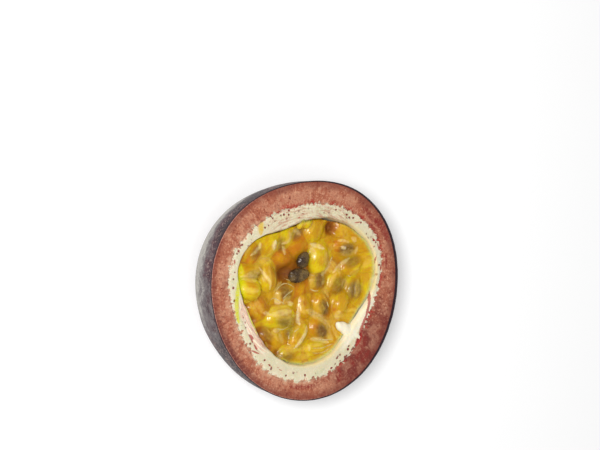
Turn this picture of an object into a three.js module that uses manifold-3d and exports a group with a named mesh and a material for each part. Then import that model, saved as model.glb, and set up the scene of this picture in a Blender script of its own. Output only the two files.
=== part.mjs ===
// Half of a passion fruit, cut across its middle and resting on its rounded end, cut face up.
// Millimetres, +Z up. The origin is under the middle of the fruit, on the surface it rests on.
// Three layers show at the cut and run through the fruit: the peel, the white pith and the pulp.

import * as THREE from 'three';
import * as BufferGeometryUtils from 'three/addons/utils/BufferGeometryUtils.js';
import Module from 'manifold-3d';

const wasm = await Module();
wasm.setup();

// ---- Driving dimensions

const cutHeight = 30.4; // from the resting surface to the cut face
const restRadius = 4.2; // flat spot at the rounded end
const belly = 0.5; // how much the skin bulges half way down
const peelThickness = 5.6; // at the rounded end
const pithThickness = 2.8; // at the rounded end
const layerGap = 0.3; // between neighbouring layers
const turnSteps = 60; // facets round the fruit
const skinDipSteps = 10; // facets of the skin from the cut face to the rounded end
const innerDipSteps = 6; // the same on the layers inside

// Outlines on the cut face: a mean radius with waves round it. Each wave adds
// size * cos(lobes * turn - phase), and the waves fade out towards the rounded end.
// The three-lobed waves are the fruit's three seed chambers.
const skinOutline = {
  mean: 30.3,
  waves: [
    { lobes: 1, size: 1.5, phase: -38 },
    { lobes: 3, size: 0.75, phase: 117 },
    { lobes: 4, size: 0.2, phase: -166 },
  ],
};
const pithOutline = {
  mean: 24.05,
  waves: [
    { lobes: 1, size: 1.0, phase: -65 },
    { lobes: 2, size: 0.8, phase: 98 },
    { lobes: 3, size: 1.35, phase: 99 },
    { lobes: 5, size: 0.25, phase: 115 },
  ],
};
const cavityOutline = {
  mean: 20.1,
  waves: [
    { lobes: 1, size: 1.2, phase: -30 },
    { lobes: 2, size: 1.05, phase: 36 },
    { lobes: 3, size: 1.8, phase: 96 },
    { lobes: 4, size: 0.4, phase: -50 },
    { lobes: 5, size: 0.35, phase: 54 },
  ],
};

// The pith rounds over into the cavity, most of all on the three seed walls.
const lip = { depth: 2.2, width: 0.6, wallWidth: 1.2, steps: 3 };

// Knob of white tissue that juts out of the pith into the pulp.
const knob = { turn: -43, reach: 19.1, drop: 1.4, length: 7.8, width: 3.8, height: 3 };

// Shallow dent of the flower scar, beside the rounded end.
const scar = { turn: 200, dip: 69, width: 6.4, depth: 0.9 };

// Pulp: juice sacs fused on a core of juice. The core lies this far below the cut face in the
// middle and at the rim, and less far at the rim where the cavity is full. It rises to the rim
// with this power of the distance from the middle.
const core = { recess: 2.6, rimRecess: 1.9, fullRecess: 0.7, rise: 7, sideInset: 0.2, rings: 7 };
const fullStretch = { turn: -30, reach: 96, even: 56 }; // its middle, and how far it reaches
const hollows = [
  { x: -4.8, y: 3.2, width: 2.6, depth: 2.2 },
  { x: 0.4, y: 4.6, width: 3.0, depth: 1.4 },
  { x: 9.6, y: 15.6, width: 1.7, depth: 2.4 },
];
const rimOverlap = 2.2; // how far a sac may lie over the pith
const headroom = 6; // above the cut face, more than any sac needs
const sacRoundness = 0.8; // a sac's height over its width
const sacTaper = 0.22; // how much narrower its stalk end is
const sacFacets = 2;

// The sacs that stand out: middle, top below the cut face, length, width and turn of the stalk end.
const mainSacs = [
  { x: 14.5, y: 10.5, top: 0.7, length: 10.4, width: 8.8, turn: 5 },
  { x: 5.7, y: 7.5, top: 0.4, length: 9.8, width: 7.4, turn: 80 },
  { x: 4.0, y: 15.0, top: 0.6, length: 8.6, width: 7.2, turn: 60 },
  { x: -1.0, y: 11.0, top: 1.6, length: 8.6, width: 7.0, turn: 30 },
  { x: -6.0, y: 7.5, top: 1.9, length: 8.4, width: 6.0, turn: -15 },
  { x: -4.5, y: 13.5, top: 1.5, length: 7.4, width: 5.4, turn: 70 },
  { x: -10.4, y: 11.2, top: 1.1, length: 9.0, width: 7.0, turn: 40 },
  { x: -15.2, y: 8.2, top: 1.6, length: 8.0, width: 6.0, turn: 55 },
  { x: -15.9, y: 4.0, top: 0.9, length: 8.4, width: 5.2, turn: 5 },
  { x: -16.8, y: -0.6, top: -0.7, length: 7.6, width: 7.0, turn: 170 },
  { x: -10.4, y: 2.6, top: 0.9, length: 9.6, width: 6.0, turn: 95 },
  { x: -5.4, y: -2.2, top: 1.5, length: 7.8, width: 6.8, turn: 45 },
  { x: -6.0, y: -9.0, top: 0.6, length: 10.8, width: 7.8, turn: 185 },
  { x: -13.0, y: -4.5, top: 1.2, length: 8.8, width: 6.4, turn: 120 },
  { x: -8.4, y: -13.6, top: 1.6, length: 8.2, width: 6.4, turn: 130 },
  { x: -0.8, y: -14.0, top: 0.5, length: 8.8, width: 5.8, turn: 60 },
  { x: 0.6, y: -1.4, top: 2.2, length: 7.6, width: 5.6, turn: 60 },
  { x: 6.0, y: 1.0, top: 1.5, length: 7.8, width: 6.6, turn: 80 },
  { x: 11.5, y: 0.5, top: 0.9, length: 8.4, width: 7.2, turn: 60 },
  { x: 17.5, y: -1.5, top: 0.5, length: 8.4, width: 7.0, turn: 80 },
  { x: 17.0, y: 5.0, top: 0.8, length: 9.0, width: 6.0, turn: 25 },
  { x: 7.0, y: -6.0, top: 1.0, length: 8.2, width: 6.2, turn: -65 },
  { x: 13.0, y: -5.5, top: 0.7, length: 8.4, width: 7.0, turn: 75 },
  { x: 6.0, y: -12.4, top: 0.8, length: 8.8, width: 7.2, turn: -50 },
  { x: 5.0, y: -17.8, top: 0.8, length: 9.8, width: 5.6, turn: 5 },
  { x: -3.0, y: -18.8, top: 0.9, length: 8.4, width: 5.8, turn: 10 },
  { x: 1.2, y: -6.0, top: 1.2, length: 8.0, width: 6.0, turn: 95 },
  { x: -1.0, y: 17.8, top: -0.3, length: 5.2, width: 2.8, turn: 65 },
  { x: 0.9, y: 17.0, top: -0.1, length: 3.8, width: 3.0, turn: 20 },
];

// Smaller sacs fill the room between them, drawn by the same rule in every run.
const fillSacs = {
  seed: 11,
  tries: 600,
  spacing: 3.6,
  margin: 1.8,
  top: [1.6, 2.6],
  length: [6.4, 8.0],
  width: [4.8, 6.0],
};

// ---- Shapes

const degrees = Math.PI / 180;

// A fruit's layers end at the same rounded shape: depth below the cut face at the rounded end.
const restDip = Math.acos(restRadius / skinOutline.mean);
const skinDepth = cutHeight / Math.sin(restDip);
const pithDepth = skinDepth - peelThickness;
const cavityDepth = pithDepth - pithThickness;
const innerDip = 80 * degrees; // dip of the lowest ring of the layers inside
const sameSpot = 1e-4; // corners of a ball's facets this near to each other are one

function outlineRadius(outline, turn, fade = 1) {
  return outline.waves.reduce(
    (sum, wave) =>
      sum + wave.size * fade ** wave.lobes * Math.cos(wave.lobes * turn - wave.phase * degrees),
    outline.mean,
  );
}

// The middle of the skin outline's extent, which is put on the origin.
function outlineMiddle(outline) {
  const box = new THREE.Box2();
  for (let step = 0; step < turnSteps; step++) {
    const turn = (step / turnSteps) * 2 * Math.PI;
    const radius = outlineRadius(outline, turn);
    box.expandByPoint(new THREE.Vector2(radius * Math.cos(turn), radius * Math.sin(turn)));
  }
  return box.getCenter(new THREE.Vector2());
}

// One ring of points round the fruit, from its radius and height at each turn.
function ring(radiusAt, heightAt) {
  return Array.from({ length: turnSteps }, (_, step) => {
    const turn = (step / turnSteps) * 2 * Math.PI;
    const radius = radiusAt(turn);
    return [radius * Math.cos(turn), radius * Math.sin(turn), heightAt(turn, radius)];
  });
}

// A ring on a rounded layer, at an angle of dip below the cut face.
function layerRing(outline, depth, dip, offset = 0, start = 0) {
  const fade = Math.cos(dip);
  return ring(
    (turn) => (outlineRadius(outline, turn, fade) + offset) * fade,
    () => cutHeight - start - (depth + offset - start) * Math.sin(dip),
  );
}

// The dips of a layer's rings, from just short of the rounded end up to the cut face.
function layerDips(first, steps) {
  return Array.from({ length: steps + 1 }, (_, step) => first * (1 - step / steps));
}

function innerRings(outline, depth, offset, start) {
  return layerDips(innerDip, innerDipSteps).map((dip) =>
    layerRing(outline, depth, dip, offset, start),
  );
}

// A closed solid from rings of points, listed from the low middle, out and up, and back inwards.
function ringSolid(lowZ, rings, highZ) {
  const points = [[0, 0, lowZ], ...rings.flat(), [0, 0, highZ]];
  const last = points.length - 1;
  const triangles = [];
  for (let step = 0; step < turnSteps; step++) {
    const next = (step + 1) % turnSteps;
    triangles.push([0, 1 + next, 1 + step]);
    for (let row = 0; row < rings.length - 1; row++) {
      const low = 1 + row * turnSteps;
      const high = low + turnSteps;
      triangles.push([low + step, low + next, high + next]);
      triangles.push([low + step, high + next, high + step]);
    }
    triangles.push([last - turnSteps + step, last - turnSteps + next, last]);
  }
  const mesh = new wasm.Mesh({
    numProp: 3,
    vertProperties: new Float32Array(points.flat()),
    triVerts: new Uint32Array(triangles.flat()),
  });
  return new wasm.Manifold(mesh);
}

function solidOf(geometry) {
  geometry.deleteAttribute('normal');
  geometry.deleteAttribute('uv');
  const merged = BufferGeometryUtils.mergeVertices(geometry, sameSpot);
  const mesh = new wasm.Mesh({
    numProp: 3,
    vertProperties: new Float32Array(merged.attributes.position.array),
    triVerts: new Uint32Array(merged.index.array),
  });
  return new wasm.Manifold(mesh);
}

// An egg of few facets: its size along and across, its place and its turn about +Z.
function egg({ x, y, z, length, width, height, turn = 0, taper = 0, facets = 1 }) {
  const geometry = new THREE.IcosahedronGeometry(0.5, facets);
  const points = geometry.attributes.position;
  for (let i = 0; i < points.count; i++) {
    const slim = 1 - taper * (0.5 + points.getX(i));
    points.setXYZ(i, points.getX(i), points.getY(i) * slim, points.getZ(i) * slim);
  }
  geometry.scale(length, width, height);
  geometry.rotateZ(turn * degrees);
  geometry.translate(x, y, z);
  return solidOf(geometry);
}

// ---- The layers

// How far the pith's rounded lip reaches back from the cavity at a turn.
function lipWidth(turn) {
  const wall = -Math.cos(3 * turn - cavityOutline.waves[2].phase * degrees);
  return lip.width + (lip.wallWidth - lip.width) * Math.max(0, wall);
}

// The lip's rings, from the cut face down to the cavity's wall, moved inwards by the inset.
function lipRings(inset) {
  return Array.from({ length: lip.steps }, (_, step) => {
    const bend = (step / lip.steps) * 0.5 * Math.PI;
    return ring(
      (turn) => outlineRadius(cavityOutline, turn) - inset + lipWidth(turn) * (1 - Math.sin(bend)),
      () => cutHeight + inset * Math.cos(bend) - lip.depth * (1 - Math.cos(bend)),
    );
  });
}

function cavityRings(inset) {
  return innerRings(cavityOutline, cavityDepth, -inset, lip.depth);
}

function makePeel() {
  const dips = layerDips(restDip, skinDipSteps);
  const bulge = (dip) => belly * Math.sin((Math.PI * dip) / restDip);
  const outside = dips.map((dip) => layerRing(skinOutline, skinDepth, dip, bulge(dip)));
  const inside = innerRings(pithOutline, pithDepth, layerGap / 2);
  const rings = [...outside, ...inside.reverse()];
  const shell = ringSolid(0, rings, cutHeight - pithDepth - layerGap / 2);
  return shell.subtract(makeScar());
}

function makeScar() {
  const radius = skinOutline.mean * Math.cos(scar.dip * degrees);
  const geometry = new THREE.IcosahedronGeometry(0.5, 2);
  geometry.scale(scar.width, scar.width, scar.depth * 2);
  geometry.rotateY((90 + scar.dip) * degrees);
  geometry.translate(radius, 0, cutHeight - skinDepth * Math.sin(scar.dip * degrees));
  geometry.rotateZ(scar.turn * degrees);
  return solidOf(geometry);
}

function makeKnob(swell) {
  return egg({
    x: knob.reach * Math.cos(knob.turn * degrees),
    y: knob.reach * Math.sin(knob.turn * degrees),
    z: cutHeight - knob.drop,
    length: knob.length + 2 * swell,
    width: knob.width + 2 * swell,
    height: knob.height + 2 * swell,
    turn: knob.turn,
  });
}

function makePith() {
  const outside = innerRings(pithOutline, pithDepth, -layerGap / 2);
  const rings = [...outside, ...lipRings(0), ...cavityRings(0).reverse()];
  const shell = ringSolid(cutHeight - pithDepth + layerGap / 2, rings, cutHeight - cavityDepth);
  return shell.add(makeKnob(0));
}

// The space that the pulp may fill: the cavity, and above the cut face a little more.
function pulpRoom() {
  const above = cutHeight + layerGap;
  const rim = (turn) => outlineRadius(cavityOutline, turn) + rimOverlap;
  const rings = [
    ...cavityRings(layerGap),
    ...lipRings(layerGap).reverse(),
    ring(rim, () => above),
    ring(rim, () => above + headroom),
  ];
  return ringSolid(cutHeight - cavityDepth + layerGap, rings, above + headroom);
}

// How full the cavity is at a turn: 1 along the full stretch, 0 well away from it.
function fullness(turn) {
  const away = Math.abs(((((turn / degrees - fullStretch.turn + 180) % 360) + 360) % 360) - 180);
  return 1 - THREE.MathUtils.smoothstep(away, fullStretch.even, fullStretch.reach);
}

function coreHeight(x, y, share) {
  const full = fullness(Math.atan2(y, x));
  const rim = core.rimRecess + (core.fullRecess - core.rimRecess) * full;
  const recess = core.recess + (rim - core.recess) * share ** core.rise;
  const sunk = hollows.reduce(
    (sum, h) => sum + h.depth * Math.exp(-(((x - h.x) ** 2 + (y - h.y) ** 2) / h.width ** 2)),
    0,
  );
  return cutHeight - recess - sunk;
}

// The core's sides follow the cavity, with every other ring of it, a little further inside.
function makeCore() {
  const inset = layerGap + core.sideInset;
  const sides = cavityRings(inset).filter((_, row) => row % 2 === 0);
  const top = Array.from({ length: core.rings }, (_, row) => {
    const share = 1 - row / core.rings;
    return ring(
      (turn) => (outlineRadius(cavityOutline, turn) - inset) * share,
      (turn, radius) => coreHeight(radius * Math.cos(turn), radius * Math.sin(turn), share),
    );
  });
  const rings = [...sides.slice(0, -1), ...top];
  return ringSolid(cutHeight - cavityDepth + inset, rings, coreHeight(0, 0, 0));
}

// Even random numbers from 0 to 1, the same in every run.
function drawFrom(seed) {
  const [factor, step, range] = [1664525, 1013904223, 2 ** 32];
  let state = seed;
  return () => {
    state = (state * factor + step) % range;
    return state / range;
  };
}

// The main sacs and, wherever there is room for one more clear of the hollows, a smaller one.
function placeSacs() {
  const draw = drawFrom(fillSacs.seed);
  const between = ([low, high]) => low + (high - low) * draw();
  const sacs = [...mainSacs];
  for (let tries = 0; tries < fillSacs.tries; tries++) {
    const turn = 2 * Math.PI * draw();
    const reach = Math.sqrt(draw()) * (outlineRadius(cavityOutline, turn) - fillSacs.margin);
    const sac = {
      x: reach * Math.cos(turn),
      y: reach * Math.sin(turn),
      top: between(fillSacs.top),
      length: between(fillSacs.length),
      width: between(fillSacs.width),
      turn: 360 * draw(),
    };
    const clear = [...sacs, ...hollows].every(
      (other) => Math.hypot(other.x - sac.x, other.y - sac.y) > fillSacs.spacing,
    );
    if (clear) sacs.push(sac);
  }
  return sacs;
}

function makeSac(sac) {
  const height = sac.width * sacRoundness;
  const z = cutHeight - sac.top - height / 2;
  return egg({ ...sac, z, height, taper: sacTaper, facets: sacFacets });
}

// The largest piece of a solid, so that sealed hollows are filled and loose scraps dropped.
function mainPiece(solid) {
  const byVolume = (a, b) => b.volume() - a.volume();
  return solid.decompose().sort(byVolume)[0];
}

function makePulp() {
  const sacs = placeSacs().map(makeSac);
  const heap = wasm.Manifold.union([makeCore(), ...sacs]);
  return mainPiece(heap.intersect(pulpRoom()).subtract(makeKnob(layerGap)));
}

// ---- The model

const middle = outlineMiddle(skinOutline);

function meshOf(name, solid, color, roughness) {
  const mesh = solid.getMesh();
  const geometry = new THREE.BufferGeometry();
  geometry.setAttribute('position', new THREE.BufferAttribute(mesh.vertProperties, 3));
  geometry.setIndex(new THREE.BufferAttribute(mesh.triVerts, 1));
  geometry.computeVertexNormals();
  const material = new THREE.MeshStandardMaterial({ color, roughness, metalness: 0 });
  const object = new THREE.Mesh(geometry, material);
  object.name = name;
  object.position.set(-middle.x, -middle.y, 0);
  return object;
}

const fruitHalf = new THREE.Group();
fruitHalf.name = 'passion_fruit_half';
fruitHalf.add(meshOf('peel', makePeel(), 0x6d3038, 0.5));
fruitHalf.add(meshOf('pith', makePith(), 0xd8ccaa, 0.8));
fruitHalf.add(meshOf('pulp', makePulp(), 0xd8a11f, 0.15));

export default fruitHalf;
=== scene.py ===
import math

import bpy
import numpy as np
from mathutils import Matrix, Vector, noise
from mathutils.bvhtree import BVHTree


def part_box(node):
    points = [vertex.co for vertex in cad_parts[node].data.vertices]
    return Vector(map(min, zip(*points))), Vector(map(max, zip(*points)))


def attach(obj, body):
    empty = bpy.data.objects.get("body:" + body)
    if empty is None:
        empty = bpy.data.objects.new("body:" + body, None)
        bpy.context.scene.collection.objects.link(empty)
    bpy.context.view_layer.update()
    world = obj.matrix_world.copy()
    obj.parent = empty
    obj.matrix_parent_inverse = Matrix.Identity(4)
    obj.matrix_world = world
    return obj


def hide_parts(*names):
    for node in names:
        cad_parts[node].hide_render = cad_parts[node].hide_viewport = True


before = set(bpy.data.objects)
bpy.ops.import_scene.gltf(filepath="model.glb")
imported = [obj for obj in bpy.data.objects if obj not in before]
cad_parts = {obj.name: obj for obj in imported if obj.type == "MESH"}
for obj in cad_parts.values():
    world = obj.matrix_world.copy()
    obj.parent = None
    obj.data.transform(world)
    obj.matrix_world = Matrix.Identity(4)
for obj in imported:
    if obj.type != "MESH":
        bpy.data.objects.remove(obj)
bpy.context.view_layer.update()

mm = 0.001
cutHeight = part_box("peel")[1].z / mm

# Half a passion fruit, cut face up. Every size below is in millimetres, every angle in degrees.
# The layers' outlines on the cut face: a mean radius, with waves (lobes, size, phase) round it.
fruit = {
    "skin": {"mean": 30.3, "waves": [(1, 1.5, -38), (3, 0.75, 117), (4, 0.2, -166)]},
    "pith": {"mean": 24.05, "waves": [(1, 1.0, -65), (2, 0.8, 98), (3, 1.35, 99), (5, 0.25, 115)]},
    "cavity": {
        "mean": 20.1,
        "waves": [(1, 1.2, -30), (2, 1.05, 36), (3, 1.8, 96), (4, 0.4, -50), (5, 0.35, 54)],
    },
    "belly": 0.5,            # how much the skin bulges half way down
    "restRadius": 4.2,
    "peelThickness": 5.6,
    "pithThickness": 2.8,
    "border": 0.15,          # the peel meets the pith this far outside the pith's outline
    "outlineSteps": 60,      # steps that the outline's middle is worked out from
}
restDip = math.acos(fruit["restRadius"] / fruit["skin"]["mean"])
skinDepth = cutHeight / math.sin(restDip)
pithDepth = skinDepth - fruit["peelThickness"]
cavityDepth = pithDepth - fruit["pithThickness"]
deepestDip = 1.4             # how far down the hidden sides of the layers are built, in radians


# Shapes shared by the layers

def outlineRadius(layer, turn, fade=1.0):
    radius = fruit[layer]["mean"] + 0.0 * turn
    for lobes, size, phase in fruit[layer]["waves"]:
        radius = radius + size * fade**lobes * np.cos(lobes * turn - math.radians(phase))
    return radius


def turnsRound(steps):
    return np.arange(steps) / steps * 2 * math.pi


def outlineMiddle(layer, steps):
    turn = turnsRound(steps)
    x, y = outlineRadius(layer, turn) * (np.cos(turn), np.sin(turn))
    return np.array([(x.min() + x.max()) / 2, (y.min() + y.max()) / 2, 0.0])


middle = outlineMiddle("skin", fruit["outlineSteps"])   # is put on the origin


def ringPoints(turn, radius, height):
    return np.stack([radius * np.cos(turn), radius * np.sin(turn), height + 0.0 * turn], axis=1)


def layerRing(layer, depth, dip, turn, offset=0.0, start=0.0):
    fade = math.cos(dip)
    radius = (outlineRadius(layer, turn, fade) + offset) * fade
    return ringPoints(turn, radius, cutHeight - start - (depth + offset - start) * math.sin(dip))


def polar(points):
    return np.arctan2(points[:, 1], points[:, 0]), np.hypot(points[:, 0], points[:, 1])


def turnAway(turn, at):
    return np.abs((np.degrees(turn) - at + 180) % 360 - 180)


def nearTurn(turn, at, reach):
    return np.exp(-((turnAway(turn, at) / reach) ** 2))


def smoothStep(low, high, value):
    t = np.clip((value - low) / (high - low), 0.0, 1.0)
    return t * t * (3 - 2 * t)


def noiseAt(points, size, shift=0.0):
    return np.array([noise.noise(Vector(p)) for p in points / size + shift])


def smoothPath(route, steps=8):
    # a Catmull-Rom curve through the places
    places = np.array(route, dtype=float)
    padded = np.concatenate([2 * places[:1] - places[1:2], places, 2 * places[-1:] - places[-2:-1]])
    t = np.linspace(0, 1, steps, endpoint=False)[:, None]
    pieces = [
        0.5 * (2 * b + (c - a) * t + (2 * a - 5 * b + 4 * c - d) * t**2 + (3 * b - 3 * c + d - a) * t**3)
        for a, b, c, d in zip(padded, padded[1:], padded[2:], padded[3:])
    ]
    return np.concatenate([*pieces, places[-1:]])


def pathShare(points, route, width):
    # 1 along the middle of a path on the cut face, 0 beyond its sides; the path tapers at its ends
    path = smoothPath(route)
    share = np.zeros(len(points))
    low, high = path.min(axis=0) - width, path.max(axis=0) + width
    near = np.flatnonzero(((points[:, :2] > low) & (points[:, :2] < high)).all(axis=1))
    if len(near) == 0:
        return share
    places = points[near, :2]
    best, along = np.full(len(near), np.inf), np.zeros(len(near))
    for index, (start, end) in enumerate(zip(path, path[1:])):
        step = end - start
        part = np.clip((places - start) @ step / (step @ step), 0, 1)
        away = np.linalg.norm(places - start - part[:, None] * step, axis=1)
        nearer = away < best
        best[nearer] = away[nearer]
        along[nearer] = (index + part[nearer]) / (len(path) - 1)
    taper = np.maximum(0.15, np.sqrt(np.clip(4 * along * (1 - along), 0, 1)))
    share[near] = smoothStep(1.0, 0.3, best / (0.5 * width * taper))
    return share


def ringMesh(rings):
    # quads between rings of points, and a fan round a pole at each end
    steps = len(rings[0])
    points = np.concatenate([rings[0].mean(axis=0)[None], *rings, rings[-1].mean(axis=0)[None]])
    step = np.arange(steps)
    after = (step + 1) % steps
    rows = 1 + np.arange(len(rings) - 1)[:, None] * steps
    quads = np.stack([rows + step, rows + after, rows + steps + after, rows + steps + step], axis=-1)
    last = len(points) - 1
    faces = quads.reshape(-1, 4).tolist()
    faces += [[0, 1 + b, 1 + a] for a, b in zip(step.tolist(), after.tolist())]
    faces += [[last, last - steps + a, last - steps + b] for a, b in zip(step.tolist(), after.tolist())]
    return points, faces


def facesOutward(points, faces):
    a, b, c = points[np.array([face[:3] for face in faces])].swapaxes(0, 1)
    inward = (a * np.cross(b, c)).sum() <= 0
    return points, [face[::-1] for face in faces] if inward else faces


def makeObject(name, points, faces=(), materials=(), values=None, slotOfFace=None, edges=()):
    # points in millimetres about the fruit's middle; values are attributes on the points
    mesh = bpy.data.meshes.new(name)
    mesh.from_pydata(((points - middle) * mm).tolist(), edges, faces)
    for attributeName, data in (values or {}).items():
        kind, field = ("FLOAT_VECTOR", "vector") if data.ndim == 2 else ("FLOAT", "value")
        layer = mesh.attributes.new(attributeName, kind, "POINT")
        layer.data.foreach_set(field, data.astype(np.float32).ravel())
    for material in materials:
        mesh.materials.append(material)
    if slotOfFace is not None:
        mesh.polygons.foreach_set("material_index", slotOfFace.astype(np.int32))
    mesh.polygons.foreach_set("use_smooth", np.ones(len(mesh.polygons), dtype=bool))
    mesh.update()
    thing = bpy.data.objects.new(name, mesh)
    bpy.context.scene.collection.objects.link(thing)
    return thing


def pointsOf(thing):
    found = np.empty(len(thing.data.vertices) * 3)
    thing.data.vertices.foreach_get("co", found)
    return found.reshape(-1, 3) / mm + middle


def facesOf(thing):
    return [list(p.vertices) for p in thing.data.polygons]


def takeApart(thing):
    points, faces = pointsOf(thing), facesOf(thing)
    bpy.data.objects.remove(thing)
    return points, faces


def bakeObject(thing):
    graph = bpy.context.evaluated_depsgraph_get()
    graph.update()
    mesh = bpy.data.meshes.new_from_object(thing.evaluated_get(graph), depsgraph=graph)
    thing.modifiers.clear()
    old = thing.data
    thing.data = mesh
    bpy.data.meshes.remove(old)
    mesh.name = thing.name
    return thing


def fuse(thing, voxel, smoothing):
    # closed shapes that overlap become one skin
    remesh = thing.modifiers.new("fuse", "REMESH")
    remesh.mode, remesh.voxel_size, remesh.use_smooth_shade = "VOXEL", voxel * mm, True
    smooth = thing.modifiers.new("soften", "SMOOTH")
    smooth.factor, smooth.iterations = 0.5, smoothing
    return takeApart(bakeObject(thing))


def runTree(thing, tree, inputs):
    modifier = thing.modifiers.new("grow", "NODES")
    modifier.node_group = tree
    sockets = {i.name: i.identifier for i in tree.interface.items_tree if i.in_out == "INPUT"}
    for socket, value in inputs.items():
        modifier[sockets[socket]] = value
    return bakeObject(thing)


# Node helpers

class Wire:
    # an output of a node, which takes sums and products
    def __init__(self, socket):
        self.socket = socket

    def out(self, name):
        return Wire(self.socket.node.outputs[name])

    def __add__(self, other):
        return calc("ADD", self, other)

    def __sub__(self, other):
        return calc("SUBTRACT", self, other)

    def __rsub__(self, other):
        return calc("SUBTRACT", other, self)

    def __mul__(self, other):
        return calc("MULTIPLY", self, other)


def treeOf(*values):
    return next(v.socket.id_data for v in values if isinstance(v, Wire))


def setInputs(node, inputs):
    for name, value in inputs.items():
        if isinstance(value, Wire):
            node.id_data.links.new(value.socket, node.inputs[name])
        else:
            node.inputs[name].default_value = value


def addNode(tree, kind, inputs=None, output=0, **settings):
    node = tree.nodes.new(kind)
    for name, value in settings.items():
        setattr(node, name, value)
    setInputs(node, inputs or {})
    return Wire(node.outputs[output])


def calc(operation, *values):
    return addNode(treeOf(*values), "ShaderNodeMath", dict(enumerate(values)), operation=operation)


def vectorCalc(operation, vector, other):
    inputs = {0: vector, "Scale" if operation == "SCALE" else 1: other}
    return addNode(treeOf(vector), "ShaderNodeVectorMath", inputs, operation=operation)


def scaleVector(vector, *size):
    return vectorCalc("MULTIPLY", vector, size if len(size) == 3 else size * 3)


def splitVector(vector):
    parts = addNode(treeOf(vector), "ShaderNodeSeparateXYZ", {0: vector})
    return [parts.out(axis) for axis in range(3)]


def stepUp(value, low, high, fromValue=0.0, toValue=1.0):
    inputs = dict(enumerate((value, low, high, fromValue, toValue)))
    return addNode(treeOf(value), "ShaderNodeMapRange", inputs, interpolation_type="SMOOTHSTEP")


def blend(share, below, above):
    return addNode(treeOf(share), "ShaderNodeMix", {0: share, 6: below, 7: above}, 2, data_type="RGBA")


def paintOver(base, *layers):
    # each layer: how much of it shows, and its colour
    for share, tint in layers:
        base = blend(share, base, tint)
    return base


def grain(vector, scale, detail=2.0, roughness=0.5):
    inputs = {"Vector": vector, "Scale": scale, "Detail": detail, "Roughness": roughness}
    return addNode(treeOf(vector), "ShaderNodeTexNoise", inputs)


def cells(vector, scale):
    return addNode(treeOf(vector), "ShaderNodeTexVoronoi", {"Vector": vector, "Scale": scale})


def bump(height, distance):
    return addNode(treeOf(height), "ShaderNodeBump", {"Height": height, "Distance": distance * mm})


def attribute(tree, name, output="Fac"):
    return addNode(tree, "ShaderNodeAttribute", output=output, attribute_name=name)


def placeInMillimetres(tree):
    return scaleVector(addNode(tree, "ShaderNodeTexCoord", output="Object"), 1 / mm)


def newMaterial(name):
    material = bpy.data.materials.new(name)
    material.use_nodes = True
    return material, material.node_tree, material.node_tree.nodes["Principled BSDF"]


def newGroup(name, kind, inputs, outputs):
    group = bpy.data.node_groups.new(name, kind)
    for way, sockets in (("INPUT", inputs), ("OUTPUT", outputs)):
        for socket, valueKind in sockets.items():
            group.interface.new_socket(socket, in_out=way, socket_type="NodeSocket" + valueKind)
    entry = group.nodes.new("NodeGroupInput").outputs
    return group, {socket.name: Wire(socket) for socket in entry}, group.nodes.new("NodeGroupOutput")


def endTree(tree, geometry, into, out):
    # the last steps of a Geometry Nodes tree
    geometry = addNode(tree, "GeometryNodeSetShadeSmooth", {"Geometry": geometry})
    inputs = {"Geometry": geometry, "Material": into["Finish"]}
    setInputs(out, {"Geometry": addNode(tree, "GeometryNodeSetMaterial", inputs)})
    return tree


def colour(*levels):
    # a colour as read off a screen, made linear
    shares = [level / 255 for level in levels]
    return [c / 12.92 if c <= 0.04045 else ((c + 0.055) / 1.055) ** 2.4 for c in shares] + [1.0]


# Camera, floor and light

cameraSettings = {
    "lens": 120.0,
    "sensor": 36.0,
    "frame": (600, 450),              # the render's width and height in dots
    "faceAt": (305.3, 285.7),         # where the middle of the cut face shows
    "pixel": 30 / 110,                # millimetres across the view for one of its dots
    "axisTurn": 83.4,                 # the view is tipped about this line on the cut face
    "tip": 31.5,
}


def makeCamera():
    s = cameraSettings
    width, height = s["frame"]
    axisTurn = math.radians(s["axisTurn"])
    axis = Vector((math.cos(axisTurn), math.sin(axisTurn), 0))
    turned = Matrix.Rotation(-math.radians(s["tip"]), 4, axis)
    right, up, back = (turned @ Vector(a) for a in ((1, 0, 0), (0, 1, 0), (0, 0, 1)))
    aim = Vector((-middle[0], -middle[1], cutHeight))
    aim -= right * (s["faceAt"][0] - width / 2) * s["pixel"]
    aim += up * (s["faceAt"][1] - height / 2) * s["pixel"]
    away = width * s["pixel"] * s["lens"] / s["sensor"]
    data = bpy.data.cameras.new("camera")
    data.lens, data.sensor_width = s["lens"], s["sensor"]
    data.clip_start, data.clip_end = 0.01, 10
    camera = bpy.data.objects.new("camera", data)
    bpy.context.scene.collection.objects.link(camera)
    camera.matrix_world = Matrix.Translation((aim + back * away) * mm) @ turned
    bpy.context.scene.camera = camera


lightSettings = {
    "sky": 0.34,
    "key": {"from": (-345, 75, 520), "size": 95, "power": 2.8},
    "fill": {"from": (-300, -40, 600), "size": 320, "power": 1.0},
    "floorSize": 1500,
    "floorShade": 0.85,
    "floorGlow": 0.20,
}


def makeLamp(name):
    s = lightSettings[name]
    data = bpy.data.lights.new(name, "AREA")
    data.shape, data.size, data.energy = "DISK", s["size"] * mm, s["power"]
    lamp = bpy.data.objects.new(name, data)
    lamp.visible_glossy = name == "key"
    bpy.context.scene.collection.objects.link(lamp)
    place = Vector(s["from"])
    turned = (Vector((0, 0, cutHeight)) - place).to_track_quat("-Z", "Y")
    lamp.matrix_world = Matrix.Translation(place * mm) @ turned.to_matrix().to_4x4()


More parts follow.
